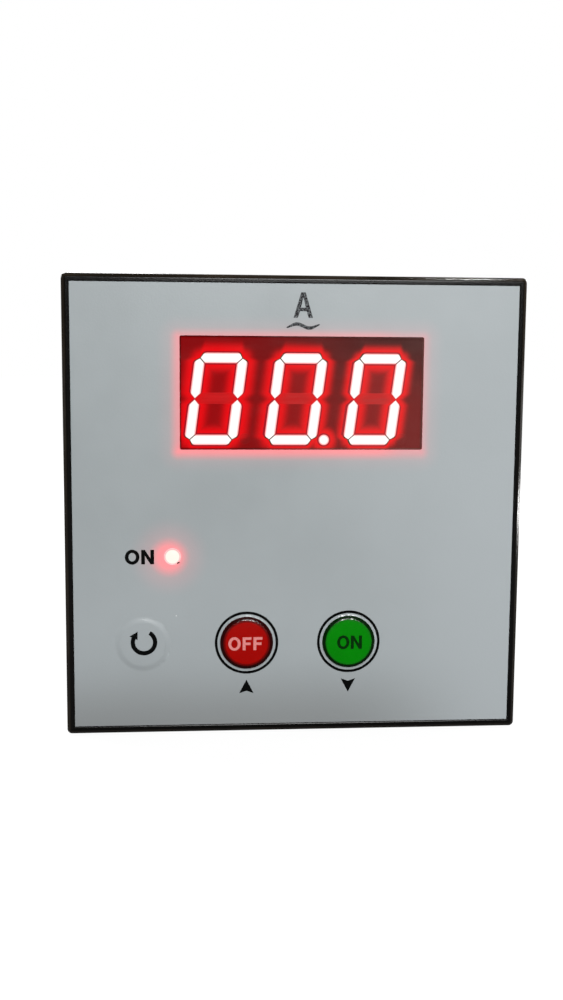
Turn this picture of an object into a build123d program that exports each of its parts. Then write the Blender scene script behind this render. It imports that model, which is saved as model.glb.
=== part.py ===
"""Square digital panel meter with a three-digit display, a lamp and three keys.

Millimetres. +X is right and +Z is up as seen from the front, which faces -Y.
The origin is the centre of the bezel's rear face, which sits on the panel.
"""

import os
from math import radians, tan

from build123d import *

# Bezel and front film
bezel_size = 96.0
bezel_depth = 7.0
bezel_corner_radius = 1.0
bezel_edge_chamfer = 0.8
rim_width = 1.6
film_thickness = 0.25
film_clearance = 0.1
film_step = 0.2
plate_thickness = 2.5
skirt_wall = 2.65

# Window, filter and display module
window_width = 50.6
window_height = 23.4
window_corner_radius = 0.4
window_left_margin = 22.17
window_top_margin = 10.66
filter_thickness = 1.0
filter_ledge = 1.0
filter_clearance = 0.1
display_side_margin = 0.65
display_height = 27.0
display_clearance = 0.25
display_face_gap = 0.1
digit_count = 3
digit_height = 19.1
digit_pitch = 16.5
digit_slant = 8.0
digit_left_shift = 1.33
digit_drop = 1.14
segment_width = 2.35
segment_spacing = 9.2
segment_gap = 0.3
segment_corner_cut = 0.65
segment_depth = 1.2
segment_clearance = 0.04
point_diameter = 2.4
point_sides = 10
point_right = 5.93
lit_point_digit = 1
display_pin_pitch = 2.54
display_pin_rows = 22.86
display_pins_per_row = 5

# Keys, plungers and switches
key_left_margin = 14.4
key_bottom_margin = 17.63
key_pitch = 21.7
key_diameter = 11.76
key_film_gap = 0.12
key_plate_gap = 0.32
key_slope = 0.9
key_rise = 0.6
switch_size = 6.0
switch_height = 3.5
switch_floor = 0.8
switch_cover_thickness = 0.3
switch_cavity = 4.9
stem_width = 3.0
stem_clearance = 0.1
stem_flange = 4.4
spring_length = 4.4
spring_width = 3.0
spring_height = 0.75
spring_thickness = 0.12
spring_gap = 0.05
switch_leg_length = 1.2
switch_leg_width = 0.7
switch_leg_thickness = 0.3
switch_leg_spacing = 4.5

# Lamp
lamp_right_of_reset = 6.17
lamp_above_keys = 18.57
lamp_diameter = 3.0
lamp_length = 5.3
lamp_proud = 0.65
lamp_tip_diameter = 1.7
lamp_nose_length = 0.9
lamp_flange_diameter = 3.9
lamp_flange_thickness = 1.0
lamp_film_gap = 0.15
lamp_plate_gap = 0.2
lamp_lead_spacing = 2.54

# Pins and leads in the boards
pin_size = 0.6
pin_clearance = 0.1
pin_reach = 1.2

# Display board and what it carries
board_thickness = 1.6
board_side_gap = 1.05
board_top_gap = 4.05
post_height = 6.55
clip_inset = 9.0
clip_width = 6.0
clip_thickness = 1.4
clip_ledge = 1.5
clip_gap = 0.15
clip_catch_gap = 0.05
clip_nose = 0.8
clip_nose_length = 1.6
chip_length = 18.0
chip_width = 7.5
chip_height = 2.3
chip_standoff = 0.2
chip_right = 14.0
chip_level = -2.0
chip_leg_pitch = 3.4
chip_legs_per_side = 5
chip_leg_width = 0.5
chip_leg_length = 1.3
chip_leg_height = 1.0
resistor_count = 8
resistor_pitch = 4.0
resistor_length = 2.0
resistor_width = 1.2
resistor_height = 0.5
resistor_level = 6.0
resistor_left = 20.0

# Rear case
case_clearance = 0.1
case_depth = 50.0
case_wall = 2.2
case_rear_wall = 2.5
case_corner_radius = 3.0
case_rear_edge = 0.8
snap_spacing = 44.0
snap_width = 8.0
snap_thickness = 1.6
snap_wall_gap = 0.15
snap_nose = 1.4
snap_nose_length = 3.0
snap_reach = 2.6
snap_window_gap = 0.3
snap_catch_gap = 0.1
vent_count = 6
vent_pitch = 9.0
vent_width = 2.2
vent_length = 22.0
vent_back_margin = 8.0
rear_vent_count = 5
rear_vent_pitch = 11.0
rear_vent_height = 14.0
rear_vent_level = 20.0

# Clamp channels and clamps
channel_front_gap = 1.4
channel_end_wall = 1.5
slot_mouth = 6.6
slot_inner = 11.6
slot_lip = 1.6
slot_depth = 4.0
slot_wall = 1.5
notch_pitch = 2.5
notch_length = 1.0
notch_depth = 0.4
notch_count = 6
clamp_clearance = 0.15
clamp_grip = 6.0
clamp_closing = 5.0
clamp_key_length = 17.0
clamp_reach = 3.75
clamp_height = 14.0
clamp_plate = 1.8
clamp_foot = 2.6
clamp_gusset = 9.0
clamp_gusset_thickness = 2.0
clamp_gusset_spacing = 9.0
clamp_grip_ridge = 1.4
clamp_ridge_length = 3.0
clamp_tail = 2.0

# Main board and what it carries
main_board_rise = 14.45
main_board_side_gap = 0.3
main_board_front_gap = 1.5
main_board_back_gap = 0.3
guide_thickness = 1.5
guide_depth = 2.0
guide_clearance = 0.1
header_pin_count = 5
header_pitch = 2.54
header_height = 2.5
header_bend = 1.3
header_pin_level = 1.25
header_pin_drop = 3.0
core_width = 30.0
core_height = 25.0
core_stack = 12.0
core_leg = 10.0
core_yoke = 5.0
core_right_gap = 0.5
core_regulator_gap = 0.3
bobbin_wall = 0.7
bobbin_clearance = 0.2
bobbin_flange = 0.8
winding_gap = 1.3
relay_width = 15.5
relay_depth = 19.0
relay_height = 15.3
relay_chamfer = 0.8
relay_left_gap = 0.5
relay_from_front = 10.1
sensor_width = 15.0
sensor_depth = 10.0
sensor_height = 20.0
sensor_window = 8.0
sensor_corner_radius = 4.0
sensor_relay_gap = 0.4
sensor_from_front = 9.8
bar_width = 4.0
bar_thickness = 1.5
bar_gap = 0.6
capacitor_diameter = 8.0
capacitor_height = 14.0
capacitor_from_front = 21.2
bridge_width = 14.0
bridge_depth = 4.0
bridge_height = 10.0
bridge_standoff = 3.0
bridge_leg_pitch = 3.8
bridge_leg = 0.8
bridge_from_front = 22.6
regulator_width = 10.0
regulator_height = 15.0
regulator_body_height = 9.0
regulator_thickness = 4.5
regulator_tab = 1.3
regulator_leg_height = 3.0
regulator_leg_pitch = 2.54
regulator_leg = 0.8
regulator_from_front = 1.2

# Terminal block
pole_count = 6
pole_pitch = 10.0
block_end_wall = 0.8
block_height = 16.0
block_inside = 10.0
block_proud = 12.0
block_clearance = 0.3
block_groove = 0.8
entry_width = 6.0
entry_depth = 6.0
entry_height = 9.5
entry_back_wall = 2.5
contact_thickness = 0.8
contact_clearance = 0.1
terminal_screw_rise = 5.5
terminal_screw_diameter = 4.2
terminal_screw_clearance = 0.2
terminal_screw_recess = 1.0
terminal_screw_entry = 0.6
driver_slot_width = 1.0
driver_slot_depth = 1.0

# Depths along Y, from the front to the back
rim_front = -bezel_depth
film_front = rim_front + film_step
plate_front = film_front + film_thickness
plate_back = plate_front + plate_thickness
board_front = plate_back + post_height
board_back = board_front + board_thickness
display_face = plate_front + filter_thickness + display_face_gap
key_top = film_front - key_rise
switch_front = board_front - switch_height
cavity_front = switch_front + switch_cover_thickness
cavity_floor = board_front - switch_floor
spring_top = cavity_floor - spring_height
case_back = case_depth
case_inner_back = case_back - case_rear_wall
main_front = board_back + main_board_front_gap
main_back = case_inner_back - main_board_back_gap
block_front = case_back - block_inside
block_back = case_back + block_proud
entry_back = block_back - entry_back_wall
entry_front = entry_back - entry_depth

# Sizes and places that follow from the values above
recess_size = bezel_size - 2 * rim_width
film_size = recess_size - 2 * film_clearance
cavity_size = bezel_size - 2 * skirt_wall
case_size = cavity_size - 2 * case_clearance
case_inner = case_size - 2 * case_wall
film_edge = film_size / 2
case_side = case_size / 2
case_inner_side = case_inner / 2
window_x = -film_edge + window_left_margin + window_width / 2
window_z = film_edge - window_top_margin - window_height / 2
display_z = window_z - digit_drop
display_width = digit_count * digit_pitch + 2 * display_side_margin
opening_width = display_width + 2 * display_clearance
opening_height = display_height + 2 * display_clearance
filter_width = opening_width + 2 * filter_ledge
filter_height = opening_height + 2 * filter_ledge
key_z = -film_edge + key_bottom_margin
reset_x = -film_edge + key_left_margin
key_places = {"reset": reset_x, "off": reset_x + key_pitch, "on": reset_x + 2 * key_pitch}
key_points = [(x, key_z) for x in key_places.values()]
lamp_x = reset_x + lamp_right_of_reset
lamp_z = key_z + lamp_above_keys
board_width = case_inner - 2 * board_side_gap
board_height = case_inner - 2 * board_top_gap
pin_hole = pin_size + 2 * pin_clearance
main_bottom = -case_inner_side + main_board_rise
main_top = main_bottom + board_thickness
main_width = case_inner - 2 * main_board_side_gap
header_z = main_top + header_pin_level
header_bend_y = main_front + header_height + header_bend
header_xs = [(i - (header_pin_count - 1) / 2) * header_pitch for i in range(header_pin_count)]
channel_front = board_back + channel_front_gap
slot_front = channel_front + channel_end_wall
slot_floor = case_side - slot_depth
slot_roof = case_side - slot_lip
channel_inside = slot_floor - slot_wall
clamp_key_front = slot_front + clamp_closing + 2 * clamp_clearance
clamp_key_back = clamp_key_front + clamp_key_length
clamp_back = clamp_key_back + clamp_tail
block_width = pole_count * pole_pitch + 2 * block_end_wall
pole_xs = [(i - (pole_count - 1) / 2) * pole_pitch for i in range(pole_count)]
groove_xs = [(i - (pole_count - 2) / 2) * pole_pitch for i in range(pole_count - 1)]
terminal_screw_z = main_top + terminal_screw_rise


def face_plane(y):
    """The plane parallel to the panel at depth y: its local axes are X and Z."""
    return Plane.XZ.offset(-y)


def turning_plane(x, z):
    """The plane through an axis along Y at (x, z): its local axes are the radius and Y."""
    return Plane(origin=(x, 0, z), x_dir=(1, 0, 0), z_dir=(0, 0, 1))


def turning_axis(x, z):
    """The axis along Y at (x, z)."""
    return Axis((x, 0, z), (0, 1, 0))


def block(x, y, z, mode=Mode.ADD):
    """A rectangular solid between two limits on each axis."""
    middle = ((x[0] + x[1]) / 2, (y[0] + y[1]) / 2, (z[0] + z[1]) / 2)
    with Locations(middle):
        Box(x[1] - x[0], y[1] - y[0], z[1] - z[0], mode=mode)


def save(builder, name):
    """Label a finished piece and write it."""
    builder.part.label = name
    export_step(builder.part, f"parts/{name}.step")


def segment_outline(start, end, shrink, first_cut, last_cut):
    """Six corners of a bar between two joints of a digit, pulled in by shrink on every side.

    A cut is how far along the bar its outer corner lies from its tip.
    """
    along = (end - start).normalized()
    across = Vector(-along.Y, along.X)
    half = segment_width / 2 - shrink
    tip = segment_gap / 2 + shrink * 2**0.5
    first, last = start + along * tip, end - along * tip
    return [
        first,
        first + along * first_cut + across * half,
        last - along * last_cut + across * half,
        last,
        last - (along + across) * half,
        first + (along - across) * half,
    ]


def digit_outlines(middle_x, shrink):
    """The outlines of a digit's seven bars, a to g, slanted and placed on the display."""
    side = segment_spacing / 2
    half = (digit_height - segment_width) / 2
    corners = [(-side, half), (side, half), (side, 0), (side, -half), (-side, -half), (-side, 0)]
    joints = [Vector(x, z) for x, z in corners]
    pairs = [(0, 1), (1, 2), (2, 3), (3, 4), (4, 5), (5, 0), (5, 2)]
    middle_joints = (2, 5)
    middle_cut = segment_width / 2 - shrink
    lean = tan(radians(digit_slant))
    bars = []
    for a, b in pairs:
        cuts = [middle_cut if joint in middle_joints else segment_corner_cut for joint in (a, b)]
        outline = segment_outline(joints[a], joints[b], shrink, *cuts)
        bars.append([(middle_x + p.X + p.Y * lean, display_z + p.Y) for p in outline])
    return bars


digit_xs = [
    window_x - digit_left_shift + (i - (digit_count - 1) / 2) * digit_pitch
    for i in range(digit_count)
]
point_z = display_z - (digit_height - segment_width) / 2
point_places = [(x + point_right, point_z) for x in digit_xs]

os.makedirs("parts", exist_ok=True)

# Front bezel: rim, plate, skirt, clips for the board and hooks for the case
with BuildPart() as front_bezel:
    with BuildSketch(face_plane(0)):
        RectangleRounded(bezel_size, bezel_size, bezel_corner_radius)
    extrude(amount=bezel_depth)
    chamfer(front_bezel.faces().sort_by(Axis.Y)[0].edges(), bezel_edge_chamfer)
    with BuildSketch(face_plane(plate_front)):
        Rectangle(recess_size, recess_size)
    extrude(amount=plate_front - rim_front, mode=Mode.SUBTRACT)
    with BuildSketch(face_plane(0)):
        RectangleRounded(cavity_size, cavity_size, case_corner_radius)
    extrude(amount=-plate_back, mode=Mode.SUBTRACT)
    with BuildSketch(face_plane(plate_front + filter_thickness)):
        with Locations((window_x, display_z)):
            Rectangle(filter_width + 2 * filter_clearance, filter_height + 2 * filter_clearance)
    extrude(amount=filter_thickness, mode=Mode.SUBTRACT)
    with BuildSketch(face_plane(plate_back)):
        with Locations((window_x, display_z)):
            Rectangle(opening_width, opening_height)
        with Locations(*key_points):
            Rectangle(key_diameter + 2 * key_plate_gap, key_diameter + 2 * key_plate_gap)
        with Locations((lamp_x, lamp_z)):
            Circle(lamp_diameter / 2 + lamp_plate_gap)
    extrude(amount=plate_thickness, mode=Mode.SUBTRACT)
    hook_top = case_inner_side - snap_wall_gap
    hook_bottom = hook_top - snap_thickness
    hook_end = snap_reach + snap_nose_length
    hook = [
        (plate_back, hook_bottom),
        (plate_back, hook_top),
        (snap_reach, hook_top),
        (snap_reach, hook_top + snap_nose),
        (hook_end, hook_top),
        (hook_end, hook_bottom),
    ]
    clip_inside = board_height / 2 + clip_gap
    clip_catch = board_back + clip_catch_gap
    clip = [
        (plate_back, board_height / 2 - clip_ledge),
        (board_front, board_height / 2 - clip_ledge),
        (board_front, clip_inside),
        (clip_catch, clip_inside),
        (clip_catch, clip_inside - clip_nose),
        (clip_catch + clip_nose_length, clip_inside),
        (clip_catch + clip_nose_length, clip_inside + clip_thickness),
        (plate_back, clip_inside + clip_thickness),
    ]
    clip_x = board_width / 2 - clip_inset
    for profile, middle, width in ((hook, snap_spacing / 2, snap_width), (clip, clip_x, clip_width)):
        for x in (-middle, middle):
            for side in (1, -1):
                with BuildSketch(Plane.YZ.offset(x - width / 2)):
                    Polygon(*[(y, side * z) for y, z in profile], align=None)
                extrude(amount=width)
save(front_bezel, "front_bezel")

# Front film: one printed sheet with a window, the keys' holes and the lamp's hole
with BuildPart() as front_overlay:
    with BuildSketch(face_plane(plate_front)):
        Rectangle(film_size, film_size)
        with Locations((window_x, window_z)):
            RectangleRounded(window_width, window_height, window_corner_radius, mode=Mode.SUBTRACT)
        with Locations(*key_points):
            Circle(key_diameter / 2 + key_film_gap, mode=Mode.SUBTRACT)
        with Locations((lamp_x, lamp_z)):
            Circle(lamp_diameter / 2 + lamp_film_gap, mode=Mode.SUBTRACT)
    extrude(amount=film_thickness)
save(front_overlay, "front_overlay")

# Red filter in its pocket behind the film
with BuildPart() as display_filter:
    with BuildSketch(face_plane(plate_front + filter_thickness)):
        with Locations((window_x, display_z)):
            Rectangle(filter_width, filter_height)
    extrude(amount=filter_thickness)
save(display_filter, "display_filter")

# Display housing with a pocket for every bar and point
with BuildPart() as display_housing:
    with BuildSketch(face_plane(board_front)):
        with Locations((window_x, display_z)):
            Rectangle(display_width, display_height)
    extrude(amount=board_front - display_face)
    with BuildSketch(face_plane(display_face + segment_depth)):
        for digit_x in digit_xs:
            for outline in digit_outlines(digit_x, 0):
                Polygon(*outline, align=None)
        with Locations(*point_places):
            RegularPolygon(point_diameter / 2, point_sides)
    extrude(amount=segment_depth, mode=Mode.SUBTRACT)
save(display_housing, "display_housing")

# Light bars a to f of each digit and one point are lit
with BuildPart() as display_segments_lit:
    with BuildSketch(face_plane(display_face + segment_depth)):
        for digit_x in digit_xs:
            for outline in digit_outlines(digit_x, segment_clearance)[:-1]:
                Polygon(*outline, align=None)
        with Locations(point_places[lit_point_digit]):
            RegularPolygon(point_diameter / 2 - segment_clearance, point_sides)
    extrude(amount=segment_depth)
save(display_segments_lit, "display_segments_lit")

# The middle bars and the other points are dark
with BuildPart() as display_segments_unlit:
    with BuildSketch(face_plane(display_face + segment_depth)):
        for digit_x in digit_xs:
            Polygon(*digit_outlines(digit_x, segment_clearance)[-1], align=None)
        with Locations(*[p for i, p in enumerate(point_places) if i != lit_point_digit]):
            RegularPolygon(point_diameter / 2 - segment_clearance, point_sides)
    extrude(amount=segment_depth)
save(display_segments_unlit, "display_segments_unlit")

# Two rows of display pins, through the board
with BuildPart() as display_pins:
    with BuildSketch(face_plane(board_back + pin_reach)):
        with Locations((window_x, display_z)):
            with GridLocations(display_pin_pitch, display_pin_rows, display_pins_per_row, 2):
                Rectangle(pin_size, pin_size)
    extrude(amount=board_thickness + pin_reach)
save(display_pins, "display_pins")

# Lamp: body with a bevelled nose and a flange, on two leads
lamp_tip = film_front - lamp_proud
lamp_base = lamp_tip + lamp_length
lamp_radius = lamp_diameter / 2
with BuildPart() as indicator_led:
    with BuildSketch(turning_plane(lamp_x, lamp_z)):
        flange_front = lamp_base - lamp_flange_thickness
        Polygon(
            (0, lamp_tip),
            (lamp_tip_diameter / 2, lamp_tip),
            (lamp_radius, lamp_tip + lamp_nose_length),
            (lamp_radius, flange_front),
            (lamp_flange_diameter / 2, flange_front),
            (lamp_flange_diameter / 2, lamp_base),
            (0, lamp_base),
            align=None,
        )
    revolve(axis=turning_axis(lamp_x, lamp_z))
save(indicator_led, "indicator_led")

with BuildPart() as led_leads:
    with BuildSketch(face_plane(board_back + pin_reach)):
        with Locations((lamp_x, lamp_z)):
            with GridLocations(lamp_lead_spacing, 1, 2, 1):
                Rectangle(pin_size, pin_size)
    extrude(amount=board_back + pin_reach - lamp_base)
save(led_leads, "led_leads")

# Embossed keys, square plungers and bowed snap springs, one of each for every key
for name, key_x in key_places.items():
    with BuildPart() as key:
        with BuildSketch(turning_plane(key_x, key_z)):
            edge = key_diameter / 2
            shoulder = edge - key_slope
            Polygon(
                (0, key_top),
                (shoulder, key_top),
                (edge, film_front),
                (edge, plate_front),
                (0, plate_front),
                align=None,
            )
        revolve(axis=turning_axis(key_x, key_z))
    save(key, f"{name}_key")

    with BuildPart() as plunger:
        flange_front = cavity_front + stem_clearance
        flange_back = spring_top - spring_gap
        with BuildSketch(face_plane(flange_front)):
            with Locations((key_x, key_z)):
                Rectangle(stem_width, stem_width)
        extrude(amount=flange_front - plate_front)
        with BuildSketch(face_plane(flange_back)):
            with Locations((key_x, key_z)):
                Rectangle(stem_flange, stem_flange)
        extrude(amount=flange_back - flange_front)
    save(plunger, f"{name}_plunger")

    with BuildPart() as snap_spring:
        end = spring_length / 2
        inner_end = end - spring_thickness
        with BuildSketch(turning_plane(key_x, key_z).offset(-spring_width / 2)):
            with BuildLine():
                top = ThreePointArc((-end, cavity_floor), (0, spring_top), (end, cavity_floor))
                foot = Line(top @ 1, (inner_end, cavity_floor))
                inner_top = (0, spring_top + spring_thickness)
                under = ThreePointArc(foot @ 1, inner_top, (-inner_end, cavity_floor))
                Line(under @ 1, top @ 0)
            make_face()
        extrude(amount=spring_width)
    save(snap_spring, f"{name}_snap_spring")

# Tact switches: bases with a square cavity, stamped covers and flat legs
with BuildPart() as switch_bases:
    with BuildSketch(face_plane(board_front)):
        with Locations(*key_points):
            Rectangle(switch_size, switch_size)
    extrude(amount=board_front - cavity_front)
    with BuildSketch(face_plane(cavity_floor)):
        with Locations(*key_points):
            Rectangle(switch_cavity, switch_cavity)
    extrude(amount=cavity_floor - cavity_front, mode=Mode.SUBTRACT)
save(switch_bases, "switch_bases")

with BuildPart() as switch_covers:
    with BuildSketch(face_plane(cavity_front)):
        with Locations(*key_points):
            Rectangle(switch_size, switch_size)
            Rectangle(stem_width + 2 * stem_clearance, stem_width + 2 * stem_clearance, mode=Mode.SUBTRACT)
    extrude(amount=switch_cover_thickness)
save(switch_covers, "switch_covers")

with BuildPart() as switch_legs:
    with BuildSketch(face_plane(board_front)):
        with Locations(*key_points):
            with GridLocations(switch_size + switch_leg_length, switch_leg_spacing, 2, 2):
                Rectangle(switch_leg_length, switch_leg_width)
    extrude(amount=switch_leg_thickness)
save(switch_legs, "switch_legs")

# Display board
with BuildPart() as display_board:
    with BuildSketch(face_plane(board_back)):
        Rectangle(board_width, board_height)
        with Locations((window_x, display_z)):
            with GridLocations(display_pin_pitch, display_pin_rows, display_pins_per_row, 2):
                Rectangle(pin_hole, pin_hole, mode=Mode.SUBTRACT)
        with Locations((lamp_x, lamp_z)):
            with GridLocations(lamp_lead_spacing, 1, 2, 1):
                Rectangle(pin_hole, pin_hole, mode=Mode.SUBTRACT)
        with Locations(*[(x, header_z) for x in header_xs]):
            Rectangle(pin_hole, pin_hole, mode=Mode.SUBTRACT)
    extrude(amount=board_thickness)
save(display_board, "display_board")

# Microcontroller with its legs, and the segment resistors, on the back of the display board
with BuildPart() as microcontroller:
    body_front = board_back + chip_standoff
    with BuildSketch(face_plane(body_front + chip_height)):
        with Locations((chip_right, chip_level)):
            Rectangle(chip_length, chip_width)
    extrude(amount=chip_height)
    with BuildSketch(face_plane(board_back + chip_leg_height)):
        with Locations((chip_right, chip_level)):
            with GridLocations(chip_leg_pitch, chip_width + chip_leg_length, chip_legs_per_side, 2):
                Rectangle(chip_leg_width, chip_leg_length)
    extrude(amount=chip_leg_height)
save(microcontroller, "microcontroller")

with BuildPart() as segment_resistors:
    with BuildSketch(face_plane(board_back + resistor_height)):
        resistor_xs = [i * resistor_pitch - resistor_left for i in range(resistor_count)]
        with Locations(*[(x, resistor_level) for x in resistor_xs]):
            Rectangle(resistor_width, resistor_length)
    extrude(amount=resistor_height)
save(segment_resistors, "segment_resistors")

# Main board, lying in the case's guides
with BuildPart() as main_board:
    with BuildSketch(Plane.XY.offset(main_bottom)):
        with Locations((0, (main_front + main_back) / 2)):
            Rectangle(main_width, main_back - main_front)
        with Locations(*[(x, header_bend_y) for x in header_xs]):
            Rectangle(pin_hole, pin_hole, mode=Mode.SUBTRACT)
    extrude(amount=board_thickness)
save(main_board, "main_board")

# Right-angle header between the two boards
with BuildPart() as header_strip:
    with BuildSketch(face_plane(main_front + header_height)):
        with Locations((0, main_top + header_height / 2)):
            Rectangle(header_pin_count * header_pitch, header_height)
        with Locations(*[(x, header_z) for x in header_xs]):
            Rectangle(pin_hole, pin_hole, mode=Mode.SUBTRACT)
    extrude(amount=header_height)
save(header_strip, "header_strip")

with BuildPart() as header_pins:
    half = pin_size / 2
    pin_front = board_front + pin_clearance
    pin_end = main_top - header_pin_drop
    for pin_x in header_xs:
        with BuildSketch(Plane.YZ.offset(pin_x - half)):
            Polygon(
                (pin_front, header_z - half),
                (pin_front, header_z + half),
                (header_bend_y + half, header_z + half),
                (header_bend_y + half, pin_end),
                (header_bend_y - half, pin_end),
                (header_bend_y - half, header_z - half),
                align=None,
            )
        extrude(amount=pin_size)
save(header_pins, "header_pins")

# Mains transformer: laminated core, bobbin on its middle leg, winding
core_window_width = (core_width - core_leg) / 2 - core_yoke
core_window_height = core_height - 2 * core_yoke
tube_x = core_leg + 2 * bobbin_clearance + 2 * bobbin_wall
tube_y = core_stack + 2 * bobbin_clearance + 2 * bobbin_wall
winding_thickness = core_window_width - bobbin_clearance - bobbin_wall - winding_gap
regulator_back = main_front + regulator_from_front + regulator_thickness
core_x = channel_inside - core_right_gap - core_width / 2
core_y = regulator_back + core_regulator_gap + winding_thickness + tube_y / 2
core_z = main_top + core_height / 2
bobbin_height = core_window_height - 2 * bobbin_clearance
with BuildPart() as transformer_core:
    with BuildSketch(face_plane(core_y + core_stack / 2)):
        with Locations((core_x, core_z)):
            Rectangle(core_width, core_height)
            with GridLocations(core_leg + core_window_width, 1, 2, 1):
                Rectangle(core_window_width, core_window_height, mode=Mode.SUBTRACT)
    extrude(amount=core_stack)
save(transformer_core, "transformer_core")

with BuildPart() as transformer_bobbin:
    bobbin_bottom = core_z - bobbin_height / 2
    with BuildSketch(Plane.XY.offset(bobbin_bottom)):
        with Locations((core_x, core_y)):
            Rectangle(tube_x, tube_y)
    extrude(amount=bobbin_height)
    for level in (bobbin_bottom, bobbin_bottom + bobbin_height - bobbin_flange):
        with BuildSketch(Plane.XY.offset(level)):
            with Locations((core_x, core_y)):
                Rectangle(tube_x + 2 * winding_thickness, tube_y + 2 * winding_thickness)
        extrude(amount=bobbin_flange)
    with BuildSketch(Plane.XY.offset(bobbin_bottom)):
        with Locations((core_x, core_y)):
            Rectangle(core_leg + 2 * bobbin_clearance, core_stack + 2 * bobbin_clearance)
    extrude(amount=bobbin_height, mode=Mode.SUBTRACT)
save(transformer_bobbin, "transformer_bobbin")

with BuildPart() as transformer_winding:
    with BuildSketch(Plane.XY.offset(bobbin_bottom + bobbin_flange)):
        with Locations((core_x, core_y)):
            Rectangle(
                tube_x + 2 * winding_thickness - 2 * bobbin_clearance,
                tube_y + 2 * winding_thickness - 2 * bobbin_clearance,
            )
            Rectangle(tube_x, tube_y, mode=Mode.SUBTRACT)
    extrude(amount=bobbin_height - 2 * bobbin_flange)
save(transformer_winding, "transformer_winding")

# Relay: sealed case with a chamfered top
relay_x = -channel_inside + relay_left_gap + relay_width / 2
with BuildPart() as relay:
    with BuildSketch(Plane.XY.offset(main_top)):
        with Locations((relay_x, main_front + relay_from_front)):
            Rectangle(relay_width, relay_depth)
    extrude(amount=relay_height)
    chamfer(relay.faces().sort_by(Axis.Z)[-1].edges(), relay_chamfer)
save(relay, "relay")

# Current transformer: upright moulded ring with a copper bar through it
sensor_x = relay_x + relay_width / 2 + sensor_relay_gap + sensor_width / 2
sensor_y = main_front + sensor_from_front
sensor_z = main_top + sensor_height / 2
with BuildPart() as current_transformer:
    with BuildSketch(face_plane(sensor_y + sensor_depth / 2)):
        with Locations((sensor_x, sensor_z)):
            Rectangle(sensor_width, sensor_height)
            Rectangle(sensor_window, sensor_window, mode=Mode.SUBTRACT)
    extrude(amount=sensor_depth)
    upper_corners = current_transformer.edges().filter_by(Axis.Y).group_by(Axis.Z)[-1]
    fillet(upper_corners, sensor_corner_radius)
save(current_transformer, "current_transformer")

with BuildPart() as current_bar:
    leg_inside = sensor_depth / 2 + bar_gap
    leg_outside = leg_inside + bar_thickness
    bar_top = sensor_z + bar_thickness / 2
    bar_under = sensor_z - bar_thickness / 2
    with BuildSketch(Plane.YZ.offset(sensor_x - bar_width / 2)):
        Polygon(
            (sensor_y - leg_outside, main_top),
            (sensor_y - leg_outside, bar_top),
            (sensor_y + leg_outside, bar_top),
            (sensor_y + leg_outside, main_top),
            (sensor_y + leg_inside, main_top),
            (sensor_y + leg_inside, bar_under),
            (sensor_y - leg_inside, bar_under),
            (sensor_y - leg_inside, main_top),
            align=None,
        )
    extrude(amount=bar_width)
save(current_bar, "current_bar")

# Filter capacitor, standing on the main board behind the current transformer
with BuildPart() as filter_capacitor:
    with BuildSketch(Plane.XY.offset(main_top)):
        with Locations((sensor_x, main_front + capacitor_from_front)):
            Circle(capacitor_diameter / 2)
    extrude(amount=capacitor_height)
save(filter_capacitor, "filter_capacitor")

# Flat bridge rectifier on four legs, behind the relay
with BuildPart() as bridge_rectifier:
    with BuildSketch(Plane.XY.offset(main_top + bridge_standoff)):
        with Locations((relay_x, main_front + bridge_from_front)):
            Rectangle(bridge_width, bridge_depth)
    extrude(amount=bridge_height)
    with BuildSketch(Plane.XY.offset(main_top)):
        with Locations((relay_x, main_front + bridge_from_front)):
            with GridLocations(bridge_leg_pitch, 1, 4, 1):
                Rectangle(bridge_leg, bridge_leg)
    extrude(amount=bridge_standoff)
save(bridge_rectifier, "bridge_rectifier")

# Voltage regulator in front of the transformer: body on a metal tab, three legs
with BuildPart() as voltage_regulator:
    tab_back = main_front + regulator_from_front + regulator_tab
    regulator_foot = main_top + regulator_leg_height
    with BuildSketch(face_plane(tab_back)):
        with Locations((core_x, regulator_foot + regulator_height / 2)):
            Rectangle(regulator_width, regulator_height)
    extrude(amount=regulator_tab)
    with BuildSketch(face_plane(regulator_back)):
        with Locations((core_x, regulator_foot + regulator_body_height / 2)):
            Rectangle(regulator_width, regulator_body_height)
    extrude(amount=regulator_thickness)
    with BuildSketch(Plane.XY.offset(main_top)):
        with Locations((core_x, regulator_back - regulator_thickness / 2)):
            with GridLocations(regulator_leg_pitch, 1, 3, 1):
                Rectangle(regulator_leg, regulator_leg)
    extrude(amount=regulator_leg_height)
save(voltage_regulator, "voltage_regulator")

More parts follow.
